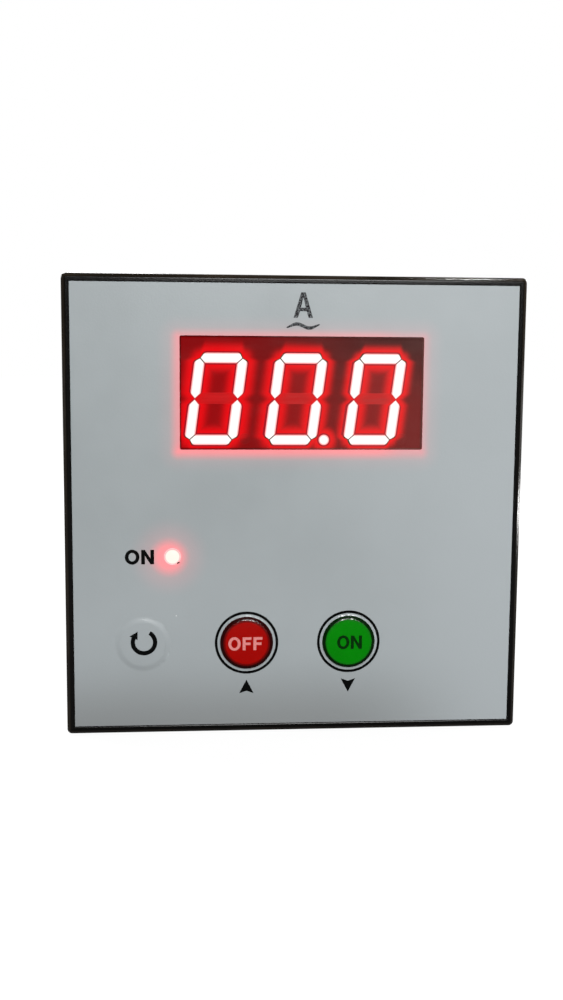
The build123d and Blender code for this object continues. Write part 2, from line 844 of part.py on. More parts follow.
# Rear case: open box with clamp channels, board guides, snap windows and vents
with BuildPart() as rear_case:
    with BuildSketch(face_plane(case_back)):
        RectangleRounded(case_size, case_size, case_corner_radius)
    extrude(amount=case_back - plate_back)
    chamfer(rear_case.faces().sort_by(Axis.Y)[-1].edges(), case_rear_edge)
    with BuildSketch(face_plane(case_inner_back)):
        RectangleRounded(case_inner, case_inner, case_corner_radius - case_wall)
    extrude(amount=case_inner_back - plate_back, mode=Mode.SUBTRACT)
    for side in (1, -1):
        channel = sorted((side * channel_inside, side * (case_side - case_wall / 2)))
        channel_half = slot_inner / 2 + slot_wall
        block(channel, (channel_front, case_inner_back + case_rear_wall / 2), (-channel_half, channel_half))
        mouth = sorted((side * slot_floor, side * (case_side + slot_lip)))
        inner = sorted((side * slot_floor, side * slot_roof))
        slot_run = (slot_front, case_back + slot_lip)
        block(mouth, slot_run, (-slot_mouth / 2, slot_mouth / 2), mode=Mode.SUBTRACT)
        block(inner, slot_run, (-slot_inner / 2, slot_inner / 2), mode=Mode.SUBTRACT)
        notch = sorted((side * (slot_floor - notch_depth), side * slot_roof))
        for i in range(notch_count):
            notch_y = clamp_key_front + i * notch_pitch
            notch_run = (notch_y, notch_y + notch_length)
            block(notch, notch_run, (-slot_mouth / 2, slot_mouth / 2), mode=Mode.SUBTRACT)
        guide = sorted((side * (case_inner_side - guide_depth), side * (case_side - case_wall / 2)))
        guide_run = (main_front, case_inner_back + case_rear_wall / 2)
        upper = main_top + guide_clearance
        lower = main_bottom - guide_clearance
        block(guide, guide_run, (upper, upper + guide_thickness))
        block(guide, guide_run, (lower - guide_thickness, lower))
    snap_y = (snap_reach - snap_catch_gap, snap_reach + snap_nose_length + snap_window_gap)
    with BuildSketch(Plane.XY):
        with Locations((0, (snap_y[0] + snap_y[1]) / 2)):
            with GridLocations(snap_spacing, 1, 2, 1):
                Rectangle(snap_width + 2 * snap_window_gap, snap_y[1] - snap_y[0])
        with Locations((0, case_inner_back - vent_back_margin - vent_length / 2)):
            with GridLocations(vent_pitch, 1, vent_count, 1):
                Rectangle(vent_width, vent_length)
    extrude(amount=case_size, both=True, mode=Mode.SUBTRACT)
    with BuildSketch(face_plane(case_back)):
        with Locations((0, rear_vent_level)):
            with GridLocations(rear_vent_pitch, 1, rear_vent_count, 1):
                Rectangle(vent_width, rear_vent_height)
        with Locations((0, main_top + block_height / 2)):
            Rectangle(block_width + 2 * block_clearance, block_height + 2 * block_clearance)
    extrude(amount=case_rear_wall, mode=Mode.SUBTRACT)
save(rear_case, "rear_case")

# Terminal block: wires enter from below, screws face the rear
with BuildPart() as terminal_block:
    with BuildSketch(Plane.XY.offset(main_top)):
        with Locations((0, (block_front + block_back) / 2)):
            Rectangle(block_width, block_back - block_front)
        with Locations(*[(x, block_back) for x in groove_xs]):
            Rectangle(block_groove, 2 * block_groove, mode=Mode.SUBTRACT)
    extrude(amount=block_height)
    with BuildSketch(Plane.XY.offset(main_top)):
        with Locations(*[(x, (entry_front + entry_back) / 2) for x in pole_xs]):
            Rectangle(entry_width, entry_depth)
    extrude(amount=entry_height, mode=Mode.SUBTRACT)
    with BuildSketch(face_plane(block_back)):
        with Locations(*[(x, terminal_screw_z) for x in pole_xs]):
            Circle(terminal_screw_diameter / 2 + terminal_screw_clearance)
    extrude(amount=entry_back_wall, mode=Mode.SUBTRACT)
save(terminal_block, "terminal_block")

with BuildPart() as terminal_contacts:
    with BuildSketch(Plane.XY.offset(main_top)):
        with Locations(*[(x, entry_front + contact_thickness / 2) for x in pole_xs]):
            Rectangle(entry_width - 2 * contact_clearance, contact_thickness)
    extrude(amount=entry_height)
save(terminal_contacts, "terminal_contacts")

with BuildPart() as terminal_screws:
    head_back = block_back - terminal_screw_recess
    with BuildSketch(face_plane(head_back)):
        with Locations(*[(x, terminal_screw_z) for x in pole_xs]):
            Circle(terminal_screw_diameter / 2)
    extrude(amount=head_back - entry_back + terminal_screw_entry)
    with BuildSketch(face_plane(head_back)):
        with Locations(*[(x, terminal_screw_z) for x in pole_xs]):
            Rectangle(terminal_screw_diameter, driver_slot_width)
    extrude(amount=driver_slot_depth, mode=Mode.SUBTRACT)
save(terminal_screws, "terminal_screws")

# Panel clamps: a T-shaped key in the channel, a plate outside it, a foot on the panel's back
for name, side in (("clamp_right", 1), ("clamp_left", -1)):
    with BuildPart() as clamp:
        inner_face = case_side + clamp_clearance
        plate_face = inner_face + clamp_plate
        tip = case_side + clamp_reach
        foot_back = clamp_grip + clamp_foot
        key_inside = slot_floor + clamp_clearance
        key_outside = slot_roof - clamp_clearance
        with BuildSketch(Plane.XY.offset(-clamp_height / 2)):
            ridge = plate_face + clamp_grip_ridge
            outline = [
                (inner_face, clamp_grip),
                (tip, clamp_grip),
                (tip, foot_back),
                (plate_face, foot_back),
                (plate_face, clamp_back - clamp_ridge_length),
                (ridge, clamp_back - clamp_ridge_length / 2),
                (ridge, clamp_back),
                (inner_face, clamp_back),
            ]
            Polygon(*[(side * x, y) for x, y in outline], align=None)
        extrude(amount=clamp_height)
        for level in (-clamp_gusset_spacing / 2, clamp_gusset_spacing / 2):
            with BuildSketch(Plane.XY.offset(level - clamp_gusset_thickness / 2)):
                gusset = [(plate_face, foot_back), (tip, foot_back), (plate_face, foot_back + clamp_gusset)]
                Polygon(*[(side * x, y) for x, y in gusset], align=None)
            extrude(amount=clamp_gusset_thickness)
        with BuildSketch(face_plane(clamp_key_back)):
            with Locations((side * (key_outside + inner_face) / 2, 0)):
                Rectangle(inner_face - key_outside, slot_mouth - 2 * clamp_clearance)
            with Locations((side * (key_inside + key_outside) / 2, 0)):
                Rectangle(key_outside - key_inside, slot_inner - 2 * clamp_clearance)
        extrude(amount=clamp_key_length)
    save(clamp, name)
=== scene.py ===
"""Looks of a square digital panel meter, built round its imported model.

Sizes and places here are millimetres, and each finished piece is scaled to metres.
The face looks along -Y, +X is right and +Z is up.
"""

from math import cos, pi, radians, sin, tan

import bmesh
import bpy
from mathutils import Matrix, Vector


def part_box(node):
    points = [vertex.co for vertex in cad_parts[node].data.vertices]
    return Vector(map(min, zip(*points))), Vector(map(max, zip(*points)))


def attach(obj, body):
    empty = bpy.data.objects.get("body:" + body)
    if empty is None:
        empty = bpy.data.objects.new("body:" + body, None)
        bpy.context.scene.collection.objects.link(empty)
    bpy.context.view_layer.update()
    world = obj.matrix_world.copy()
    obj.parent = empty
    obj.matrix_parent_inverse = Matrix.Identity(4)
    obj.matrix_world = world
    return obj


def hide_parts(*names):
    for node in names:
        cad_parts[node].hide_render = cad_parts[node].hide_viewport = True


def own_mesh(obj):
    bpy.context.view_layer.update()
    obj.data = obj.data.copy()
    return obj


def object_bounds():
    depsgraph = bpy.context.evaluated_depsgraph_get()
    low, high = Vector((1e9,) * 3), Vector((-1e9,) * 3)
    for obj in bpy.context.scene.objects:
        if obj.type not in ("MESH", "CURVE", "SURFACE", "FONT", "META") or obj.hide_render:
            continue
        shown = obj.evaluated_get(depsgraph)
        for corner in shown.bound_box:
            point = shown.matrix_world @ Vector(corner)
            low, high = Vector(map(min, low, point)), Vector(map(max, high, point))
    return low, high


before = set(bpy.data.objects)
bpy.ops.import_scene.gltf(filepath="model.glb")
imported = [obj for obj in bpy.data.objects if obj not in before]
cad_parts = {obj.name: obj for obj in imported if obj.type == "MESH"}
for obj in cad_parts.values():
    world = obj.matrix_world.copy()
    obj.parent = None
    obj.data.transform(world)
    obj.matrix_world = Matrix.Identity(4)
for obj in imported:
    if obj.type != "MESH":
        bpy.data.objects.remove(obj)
cad_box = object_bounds()

MM = 0.001

# The photograph's camera, as fitted to the face's corners
IMAGE_HEIGHT = 1000
FOCAL_PIXELS = 1200
SENSOR = 36.0
CAMERA_AZIMUTH = -4.72
CAMERA_ELEVATION = 7.18
CAMERA_ROLL = 0.42
CAMERA_DISTANCE = 250.6
AIM_RIGHT = -3.01
AIM_UP = 1.72

# Window and display
WINDOW_WIDTH = 50.6
WINDOW_HEIGHT = 23.4
WINDOW_RISE = 1.14
DIGIT_PITCH = 16.57
DIGIT_SHIFT = -1.22
DIGIT_SLANT = 7.5
BAR_SPACING = 8.83
BAR_RUN = 16.9
BAR_WIDTH = 2.35
BAR_GAP = 0.3
BAR_CORNER_CUT = 0.65
BAR_ROUNDING = 0.45
BAR_INSET = 0.1
BORDER_WIDTH = 0.2
LIT_DROP = 0.15
POINT_RIGHT = 5.93
POINT_RADIUS = 1.2
GLOW_INSIDE = 1.58
GLOW_LEFT = 1.75
GLOW_RIGHT = 1.32
GLOW_FALL = 2.7
WAIST_SHARE = 0.85
CORNER_START = -0.8
CORNER_END = 0.4
RIM_DEPTH = 0.5
BORDER_THICKNESS = 0.02
FACE_THICKNESS = 0.04
WINDOW_HALO_LEFT = 0.25
WINDOW_HALO_DROP = 0.35
WINDOW_HALO_REACH = 2.25
LAMP_HALO_LEFT = 0.7
LAMP_HALO_DROP = 0.15
LAMP_HALO_START = 1.6
LAMP_HALO_REACH = 4.7

# Print on the film and the keys
PRINT_THICKNESS = 0.03
PRINT_SINK = 0.01
RING_STEPS = 72
KEY_RING_OUTER = 6.72
KEY_RING_INNER = 6.16
KEY_HOLE_RADIUS = 5.995
KEY_DARK_RADIUS = 5.62
KEY_COLOUR_RADIUS = 4.8
LENS_RADIUS = 1.62
LENS_FLANGE = 1.0
LENS_STEPS = 10
FLECK_RADIUS = 0.2
FLECK_STRETCH = (1.7, 0.35, 0.8)
FLECK_TURN = radians(-35)
FLECK_RIGHT = 1.2
FLECK_DROP = 1.3
FLECK_PROUD = 0.02
ARROW_WIDTH = 3.1
ARROW_HEIGHT = 2.95
ARROW_NOTCH = 0.55
ARROW_DROP = 8.05
TURN_INNER = 1.88
TURN_OUTER = 2.78
TURN_START = radians(30)
TURN_SWEEP = radians(266)
TURN_STEPS = 40
TURN_HEAD = [(-3.0, 1.3), (-1.35, 0.55), (-1.3, 2.3)]
TURN_RIGHT = 0.14
TURN_RISE = 0.4
WAVE_TURNS = 1.3
UNIT_X = 1.2
UNIT_LETTER_Z = 41.97
UNIT_WAVE_Z = 37.72
LAMP_WORD_LEFT = -35.59
LAMP_WORD_DROP = 0.07
OFF_WORD_LEFT = 3.88
OFF_WORD_DROP = 0.1
ON_WORD_LEFT = 2.49
ON_WORD_DROP = 0.05

# Stage
FLOOR_HALF = 3.0
FLOOR_SHINE = 0.93
WORLD_LIGHT = 0.18
REFLECTED_FRONT = 0.06
REFLECTED_REAR = 1.0


def span(node):
    """Lowest and highest corner of a node, in millimetres."""
    low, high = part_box(node)
    return low / MM, high / MM


def middle(node):
    """Centre of a node's box, in millimetres."""
    low, high = span(node)
    return (low + high) / 2


bezel_half = span("front_bezel")[1].x
bezel_front = span("front_bezel")[0].y
film_front = span("front_overlay")[0].y
window_x = middle("display_filter").x
display_z = middle("display_filter").z
window_z = display_z + WINDOW_RISE
digit_x = window_x + DIGIT_SHIFT
lit_z = display_z - LIT_DROP
lamp = middle("indicator_led")
display_front = span("display_housing")[0].y
keys = {name: middle(f"{name}_key") for name in ("off", "on", "reset")}
key_top = span("off_key")[0].y
key_back = span("off_key")[1].y


# Node trees

def add(tree, kind, inputs=None, **settings):
    """Add a node. An input that is a socket is linked, and any other input is a value."""
    node = tree.nodes.new(kind)
    for key, value in settings.items():
        setattr(node, key, value)
    for key, value in (inputs or {}).items():
        if isinstance(value, bpy.types.NodeSocket):
            tree.links.new(value, node.inputs[key])
        else:
            node.inputs[key].default_value = value
    return node


def calc(tree, operation, *values):
    """A Math node's result."""
    return add(tree, "ShaderNodeMath", dict(enumerate(values)), operation=operation).outputs[0]


def blend(tree, factor, first, second):
    """A colour between two colours."""
    inputs = {0: factor, 6: first, 7: second}
    return add(tree, "ShaderNodeMix", inputs, data_type="RGBA").outputs[2]


def fade(tree, value, start, end, low=0.0, high=1.0):
    """A smooth change from low at start to high at end."""
    inputs = {"Value": value, "From Min": start, "From Max": end, "To Min": low, "To Max": high}
    return add(tree, "ShaderNodeMapRange", inputs, interpolation_type="SMOOTHSTEP").outputs[0]


def noise(tree, place, scale, detail=2.0, roughness=0.5):
    """A noise value."""
    inputs = {"Vector": place, "Scale": scale, "Detail": detail, "Roughness": roughness}
    return add(tree, "ShaderNodeTexNoise", inputs).outputs[0]


def split(tree, place):
    """The three coordinates of a place."""
    return add(tree, "ShaderNodeSeparateXYZ", {0: place}).outputs


def stretched(tree, place, stretch):
    """A place stretched along the axes."""
    inputs = {0: place, 1: stretch}
    return add(tree, "ShaderNodeVectorMath", inputs, operation="MULTIPLY").outputs[0]


def group(name, inputs, outputs):
    """A new shader node group: its tree, its input sockets and a node to link its outputs to."""
    tree = bpy.data.node_groups.new(name, "ShaderNodeTree")
    for label, kind in inputs.items():
        tree.interface.new_socket(label, in_out="INPUT", socket_type=kind)
    for label, kind in outputs.items():
        tree.interface.new_socket(label, in_out="OUTPUT", socket_type=kind)
    return tree, tree.nodes.new("NodeGroupInput").outputs, tree.nodes.new("NodeGroupOutput").inputs


def use(tree, node_group, inputs):
    """Place a node group and return its outputs."""
    return add(tree, "ShaderNodeGroup", inputs, node_tree=node_group).outputs


def rgb(red, green, blue):
    """A colour written as screen levels from 0 to 255, turned into linear light."""
    def linear(value):
        part = value / 255
        return part / 12.92 if part <= 0.04045 else ((part + 0.055) / 1.055) ** 2.4
    return linear(red), linear(green), linear(blue), 1.0


def scaled(colour, factor):
    """A colour made lighter or darker."""
    return tuple(min(1.0, part * factor) for part in colour[:3]) + (1.0,)


FLOAT = "NodeSocketFloat"
VECTOR = "NodeSocketVector"
COLOUR = "NodeSocketColor"


def make_moulded_grain():
    """Fine spark-eroded grain and soft blotches of a moulded surface."""
    tree, given, result = group(
        "moulded_grain",
        {"Place": VECTOR, "Grain Scale": FLOAT, "Blotch Scale": FLOAT},
        {"Grain": FLOAT, "Blotch": FLOAT},
    )
    fine = noise(tree, given["Place"], given["Grain Scale"], 3.0, 0.6)
    soft = noise(tree, given["Place"], given["Blotch Scale"], 2.0, 0.5)
    tree.links.new(fade(tree, fine, 0.3, 0.7), result["Grain"])
    tree.links.new(fade(tree, soft, 0.3, 0.7), result["Blotch"])
    return tree


def make_drawn_lines():
    """Fine lines along one direction, as on rolled or drawn metal, and soft stains."""
    tree, given, result = group(
        "drawn_lines",
        {"Place": VECTOR, "Stretch": VECTOR, "Stain Scale": FLOAT},
        {"Lines": FLOAT, "Stain": FLOAT},
    )
    lines = noise(tree, stretched(tree, given["Place"], given["Stretch"]), 1.0, 4.0, 0.7)
    stain = noise(tree, given["Place"], given["Stain Scale"], 2.0, 0.5)
    tree.links.new(fade(tree, lines, 0.25, 0.75), result["Lines"])
    tree.links.new(fade(tree, stain, 0.35, 0.7), result["Stain"])
    return tree


def make_round_distance():
    """Distance on the face from a point."""
    tree, given, result = group(
        "round_distance",
        {"Place": VECTOR, "Centre X": FLOAT, "Centre Z": FLOAT},
        {"Distance": FLOAT},
    )
    x, _, z = split(tree, given["Place"])
    across = calc(tree, "SUBTRACT", x, given["Centre X"])
    up = calc(tree, "SUBTRACT", z, given["Centre Z"])
    squares = calc(tree, "ADD", calc(tree, "POWER", across, 2.0), calc(tree, "POWER", up, 2.0))
    tree.links.new(calc(tree, "SQRT", squares), result["Distance"])
    return tree


def box_distance(tree, across, up, half_width, half_height):
    """Signed distance from a rectangle's edge, negative inside."""
    out_x = calc(tree, "SUBTRACT", calc(tree, "ABSOLUTE", across), half_width)
    out_z = calc(tree, "SUBTRACT", calc(tree, "ABSOLUTE", up), half_height)
    far_x = calc(tree, "POWER", calc(tree, "MAXIMUM", out_x, 0.0), 2.0)
    far_z = calc(tree, "POWER", calc(tree, "MAXIMUM", out_z, 0.0), 2.0)
    outside = calc(tree, "SQRT", calc(tree, "ADD", far_x, far_z))
    inside = calc(tree, "MINIMUM", calc(tree, "MAXIMUM", out_x, out_z), 0.0)
    return calc(tree, "ADD", outside, inside)


def make_window_distance():
    """Distance on the film from the edge of the lit window."""
    tree, given, result = group(
        "window_distance",
        {"Place": VECTOR, "Centre X": FLOAT, "Centre Z": FLOAT},
        {"Distance": FLOAT},
    )
    x, _, z = split(tree, given["Place"])
    across = calc(tree, "SUBTRACT", x, given["Centre X"])
    up = calc(tree, "SUBTRACT", z, given["Centre Z"])
    edge = box_distance(tree, across, up, WINDOW_WIDTH / 2, WINDOW_HEIGHT / 2)
    tree.links.new(edge, result["Distance"])
    return tree


def make_display_light():
    """Red light round the lit bars and point: its colour and nearness, where bars meet, and their rim."""
    tree, given, result = group(
        "display_light",
        {"Place": VECTOR},
        {"Light": COLOUR, "Near": FLOAT, "Joint": FLOAT, "Rim": FLOAT},
    )
    x, _, z = split(tree, given["Place"])
    up = calc(tree, "SUBTRACT", z, lit_z)
    rise = calc(tree, "ABSOLUTE", up)
    lean = calc(tree, "MULTIPLY", up, tan(radians(DIGIT_SLANT)))
    across = calc(tree, "SUBTRACT", calc(tree, "SUBTRACT", x, digit_x), lean)
    digit = calc(tree, "ROUND", calc(tree, "DIVIDE", across, DIGIT_PITCH))
    digit = calc(tree, "MINIMUM", calc(tree, "MAXIMUM", digit, -1.0), 1.0)
    within = calc(tree, "SUBTRACT", across, calc(tree, "MULTIPLY", digit, DIGIT_PITCH))
    line = box_distance(tree, within, up, BAR_SPACING / 2, BAR_RUN / 2)
    stroke = calc(tree, "SUBTRACT", calc(tree, "ABSOLUTE", line), BAR_WIDTH / 2)
    waist = calc(tree, "MAXIMUM", calc(tree, "SUBTRACT", BAR_WIDTH / 2, rise), 0.0)
    waist = calc(tree, "MULTIPLY", waist, WAIST_SHARE)
    past_side = calc(tree, "SUBTRACT", calc(tree, "ABSOLUTE", within), BAR_SPACING / 2)
    past_end = calc(tree, "SUBTRACT", rise, BAR_RUN / 2)
    past_both = calc(tree, "MINIMUM", past_side, past_end)
    corner = fade(tree, past_both, CORNER_START, CORNER_END, 0.0, BAR_WIDTH / 2)
    bars = calc(tree, "ADD", stroke, calc(tree, "MAXIMUM", waist, corner))
    point_x = calc(tree, "POWER", calc(tree, "SUBTRACT", x, digit_x + POINT_RIGHT), 2.0)
    point_z = calc(tree, "POWER", calc(tree, "ADD", up, BAR_RUN / 2), 2.0)
    point = calc(tree, "SUBTRACT", calc(tree, "SQRT", calc(tree, "ADD", point_x, point_z)), POINT_RADIUS)
    lit = calc(tree, "MINIMUM", bars, point)
    distance = calc(tree, "MAXIMUM", lit, 0.0)
    spread = fade(tree, x, window_x + 12.0, window_x - 14.0, GLOW_RIGHT, GLOW_LEFT)
    reach = fade(tree, line, -0.5, 0.5, GLOW_INSIDE, spread)
    share = calc(tree, "POWER", calc(tree, "DIVIDE", distance, reach), GLOW_FALL)
    near = calc(tree, "EXPONENT", calc(tree, "MULTIPLY", share, -1.0))
    leftward = fade(tree, x, window_x + 22.0, window_x - 26.0)
    low = fade(tree, z, window_z + 11.0, window_z - 4.0)
    outside = blend(tree, leftward, rgb(40, 4, 5), rgb(132, 3, 6))
    outside = blend(tree, calc(tree, "MULTIPLY", low, 0.4), outside, rgb(146, 3, 7))
    inside = blend(tree, leftward, rgb(122, 5, 8), rgb(150, 3, 7))
    far = blend(tree, fade(tree, line, -1.0, -2.4), outside, inside)
    tree.links.new(blend(tree, near, far, rgb(236, 4, 14)), result["Light"])
    tree.links.new(near, result["Near"])
    tree.links.new(fade(tree, lit, -RIM_DEPTH, -BAR_INSET), result["Rim"])
    between = fade(tree, stroke, -0.2, -0.1, 1.0, 0.0)
    tree.links.new(calc(tree, "MULTIPLY", between, fade(tree, rise, 4.0, 5.0)), result["Joint"])
    return tree


moulded_grain = make_moulded_grain()
drawn_lines = make_drawn_lines()
round_distance = make_round_distance()
window_distance = make_window_distance()
display_light = make_display_light()


# Finishes

def finish(name, **plain):
    """A material with one shader that has these plain inputs: its tree, shader and place in millimetres."""
    material = bpy.data.materials.new(name)
    material.use_nodes = True
    tree = material.node_tree
    tree.nodes.clear()
    shader = tree.nodes.new("ShaderNodeBsdfPrincipled")
    output = tree.nodes.new("ShaderNodeOutputMaterial")
    tree.links.new(shader.outputs[0], output.inputs[0])
    for key, value in plain.items():
        shader.inputs[key.replace("_", " ")].default_value = value
    where = tree.nodes.new("ShaderNodeTexCoord").outputs["Object"]
    inputs = {0: where, "Scale": 1 / MM}
    place = add(tree, "ShaderNodeVectorMath", inputs, operation="SCALE").outputs[0]
    return material, tree, shader, place


def bump(tree, shader, height, depth):
    """Raise the surface by height times depth in millimetres."""
    inputs = {"Height": height, "Strength": 1.0, "Distance": depth * MM}
    tree.links.new(add(tree, "ShaderNodeBump", inputs).outputs[0], shader.inputs["Normal"])


def moulded(name, colour, roughness, grain=6.0, depth=0.012, tone=0.12, gloss=0.5):
    """Moulded plastic with a fine grain, soft tone changes and uneven gloss."""
    material, tree, shader, place = finish(name, Specular_IOR_Level=gloss)
    made = use(tree, moulded_grain, {"Place": place, "Grain Scale": grain, "Blotch Scale": 0.12})
    shade = blend(tree, made["Blotch"], scaled(colour, 1 - tone), scaled(colour, 1 + tone))
    tree.links.new(shade, shader.inputs["Base Color"])
    uneven = fade(tree, made["Grain"], 0.0, 1.0, roughness - 0.06, roughness + 0.06)
    tree.links.new(uneven, shader.inputs["Roughness"])
    bump(tree, shader, made["Grain"], depth)
    return material


def bezel_finish():
    """Glossy black moulding, near black at the film, with painted light in lighter brown on its outer
    chamfer.
    """
    material, tree, shader, place = finish("bezel_plastic", Specular_IOR_Level=0.25)
    made = use(tree, moulded_grain, {"Place": place, "Grain Scale": 4.0, "Blotch Scale": 0.12})
    x, y, z = split(tree, place)
    out = calc(tree, "MAXIMUM", calc(tree, "ABSOLUTE", x), calc(tree, "ABSOLUTE", z))
    front = fade(tree, y, bezel_front + 1.0, bezel_front + 2.5, 1.0, 0.0)
    # Painted light: the outer chamfer is lighter brown where it catches the light
    painted_chamfer_light = calc(tree, "MULTIPLY", front, fade(tree, out, bezel_half - 1.0, bezel_half - 0.45))
    brown = blend(tree, made["Blotch"], rgb(30, 25, 19), rgb(48, 41, 33))
    tree.links.new(blend(tree, painted_chamfer_light, rgb(8, 7, 6), brown), shader.inputs["Base Color"])
    on_chamfer = fade(tree, out, bezel_half - 0.9, bezel_half - 0.75, 0.0, 0.1)
    polished = calc(tree, "MULTIPLY", front, on_chamfer)
    uneven = fade(tree, made["Grain"], 0.0, 1.0, 0.18, 0.24)
    tree.links.new(calc(tree, "SUBTRACT", uneven, polished), shader.inputs["Roughness"])
    bump(tree, shader, made["Grain"], 0.004)
    return material


def metal(name, colour, roughness, stretch, stain=0.25):
    """Bare or plated metal with drawn lines and faint stains."""
    material, tree, shader, place = finish(name, Metallic=1.0)
    made = use(tree, drawn_lines, {"Place": place, "Stretch": stretch, "Stain Scale": 0.6})
    shade = blend(tree, made["Stain"], colour, scaled(colour, 1 - stain))
    tree.links.new(shade, shader.inputs["Base Color"])
    uneven = fade(tree, made["Lines"], 0.0, 1.0, roughness - 0.08, roughness + 0.1)
    tree.links.new(uneven, shader.inputs["Roughness"])
    bump(tree, shader, made["Lines"], 0.004)
    return material


def circuit_board(name, across, along):
    """Green solder mask over copper tracks that run in steps, on woven glass."""
    material, tree, shader, place = finish(name, Roughness=0.32, Specular_IOR_Level=0.5)
    parts = split(tree, place)
    flat = add(tree, "ShaderNodeCombineXYZ", {0: parts[across], 1: parts[along]}).outputs[0]
    inputs = {"Vector": flat, "Scale": 0.16, "Mortar Size": 0.018, "Mortar Smooth": 0.3}
    tracks = add(tree, "ShaderNodeTexBrick", inputs, offset=0.37, squash=1.6).outputs["Fac"]
    made = use(tree, moulded_grain, {"Place": place, "Grain Scale": 3.0, "Blotch Scale": 0.2})
    mask = blend(tree, made["Blotch"], rgb(16, 74, 40), rgb(24, 92, 50))
    shade = blend(tree, tracks, mask, rgb(42, 122, 66))
    tree.links.new(shade, shader.inputs["Base Color"])
    bump(tree, shader, calc(tree, "ADD", tracks, calc(tree, "MULTIPLY", made["Grain"], 0.2)), 0.03)
    return material


def striped(name, light, dark, axis, pitch, depth, metallic, roughness):
    """Stacked sheets or turns of wire: fine stripes across one axis."""
    material, tree, shader, place = finish(name, Metallic=metallic)
    row = calc(tree, "MULTIPLY", split(tree, place)[axis], 2 * pi / pitch)
    wave = fade(tree, calc(tree, "SINE", row), -1.0, 1.0)
    made = use(tree, moulded_grain, {"Place": place, "Grain Scale": 2.0, "Blotch Scale": 0.35})
    tint = blend(tree, made["Blotch"], light, scaled(light, 0.8))
    tree.links.new(blend(tree, wave, dark, tint), shader.inputs["Base Color"])
    uneven = fade(tree, made["Grain"], 0.0, 1.0, roughness - 0.06, roughness + 0.08)
    tree.links.new(uneven, shader.inputs["Roughness"])
    bump(tree, shader, wave, depth)
    return material


# Film grey, and the lighter and darker greys of painted light and painted shade on it
FILM_GREY = rgb(166, 173, 175)
FILM_PAINTED_SHADE = rgb(152, 156, 157)
FILM_PAINTED_LIGHT = rgb(184, 191, 194)


def film_grain(tree, shader, place, roughness=0.4, depth=0.006, grain=2.4, raised=1.0):
    """Satin film: faint cloudiness, fine texture and uneven gloss. It gives the cloudy colour, with painted
    light towards the right and the bottom, and painted shade at the bottom left.
    """
    made = use(tree, moulded_grain, {"Place": place, "Grain Scale": grain, "Blotch Scale": 0.07})
    uneven = fade(tree, made["Grain"], 0.0, 1.0, roughness - 0.06, roughness + 0.06)
    tree.links.new(uneven, shader.inputs["Roughness"])
    bump(tree, shader, calc(tree, "MULTIPLY", made["Grain"], raised), depth)
    clouds = blend(tree, made["Blotch"], scaled(FILM_GREY, 0.97), scaled(FILM_GREY, 1.03))
    across, _, up = split(tree, place)
    # Painted light: the film is lighter towards the right and towards the bottom
    lower = fade(tree, up, 60.0, -47.0, 0.3, 1.0)
    painted_light = calc(tree, "MULTIPLY", fade(tree, across, -10.0, 46.0), lower)
    painted_light = calc(tree, "MAXIMUM", painted_light, fade(tree, up, 4.0, -26.0, 0.0, 0.45))
    clouds = blend(tree, painted_light, clouds, FILM_PAINTED_LIGHT)
    # Painted shade: the film is darker at the bottom left
    painted_shade = calc(tree, "MULTIPLY", fade(tree, up, -30.0, -47.0), fade(tree, across, 45.0, 5.0))
    return blend(tree, painted_shade, clouds, FILM_PAINTED_SHADE)


def film_finish():
    """Printed grey film with a painted pink glow and a painted pink tint where the lamp and the display
    shine through it.
    """
    material, tree, shader, place = finish("film_satin", Specular_IOR_Level=0.3, Emission_Strength=1.0)
    speck = fade(tree, noise(tree, place, 1.3, 0.0, 0.5), 0.905, 0.915)
    shade = blend(tree, speck, film_grain(tree, shader, place), rgb(225, 228, 228))
    # Painted glow: the film emits pink round the lamp and the window
    centre = {"Place": place, "Centre X": lamp.x - LAMP_HALO_LEFT, "Centre Z": lamp.z - LAMP_HALO_DROP}
    from_lamp = use(tree, round_distance, centre)["Distance"]
    near_lamp = fade(tree, from_lamp, LAMP_HALO_START, LAMP_HALO_REACH, 0.72, 0.0)
    wide_lamp = fade(tree, from_lamp, 2.0, 9.0, 0.2, 0.0)
    centre = {
        "Place": place, "Centre X": window_x - WINDOW_HALO_LEFT, "Centre Z": window_z - WINDOW_HALO_DROP
    }
    from_window = use(tree, window_distance, centre)["Distance"]
    across, _, up = split(tree, place)
    below = fade(tree, up, window_z - 9.5, window_z - 12.5, 0.52, 0.78)
    rightward = fade(tree, across, window_x + 15.0, window_x + 22.0, 1.0, 0.55)
    window_side = calc(tree, "MULTIPLY", below, rightward)
    near_window = fade(tree, from_window, -0.5, WINDOW_HALO_REACH, 1.0, 0.0)
    near_window = calc(tree, "MULTIPLY", near_window, window_side)
    wide_window = fade(tree, from_window, 0.0, 5.0, 0.12, 0.0)
    around_lamp = calc(tree, "ADD", near_lamp, wide_lamp)
    around_window = calc(tree, "ADD", near_window, wide_window)
    strength = calc(tree, "ADD", around_lamp, around_window)
    glow = blend(tree, strength, (0.0, 0.0, 0.0, 1.0), (0.72, 0.0, 0.01, 1.0))
    middle_of_lamp = {"Place": place, "Centre X": lamp.x, "Centre Z": lamp.z}
    hot = fade(tree, use(tree, round_distance, middle_of_lamp)["Distance"], 1.65, 1.85, 1.0, 0.0)
    glow = blend(tree, hot, glow, (1.0, 0.35, 0.36, 1.0))
    tree.links.new(glow, shader.inputs["Emission Color"])
    # Painted glow also tints the film's own colour pink near the window and the lamp
    window_painted_glow = calc(tree, "MULTIPLY", near_window, 0.5)
    tint = calc(tree, "MAXIMUM", window_painted_glow, calc(tree, "MULTIPLY", near_lamp, 0.35))
    tree.links.new(blend(tree, tint, shade, rgb(196, 118, 122)), shader.inputs["Base Color"])
    return material


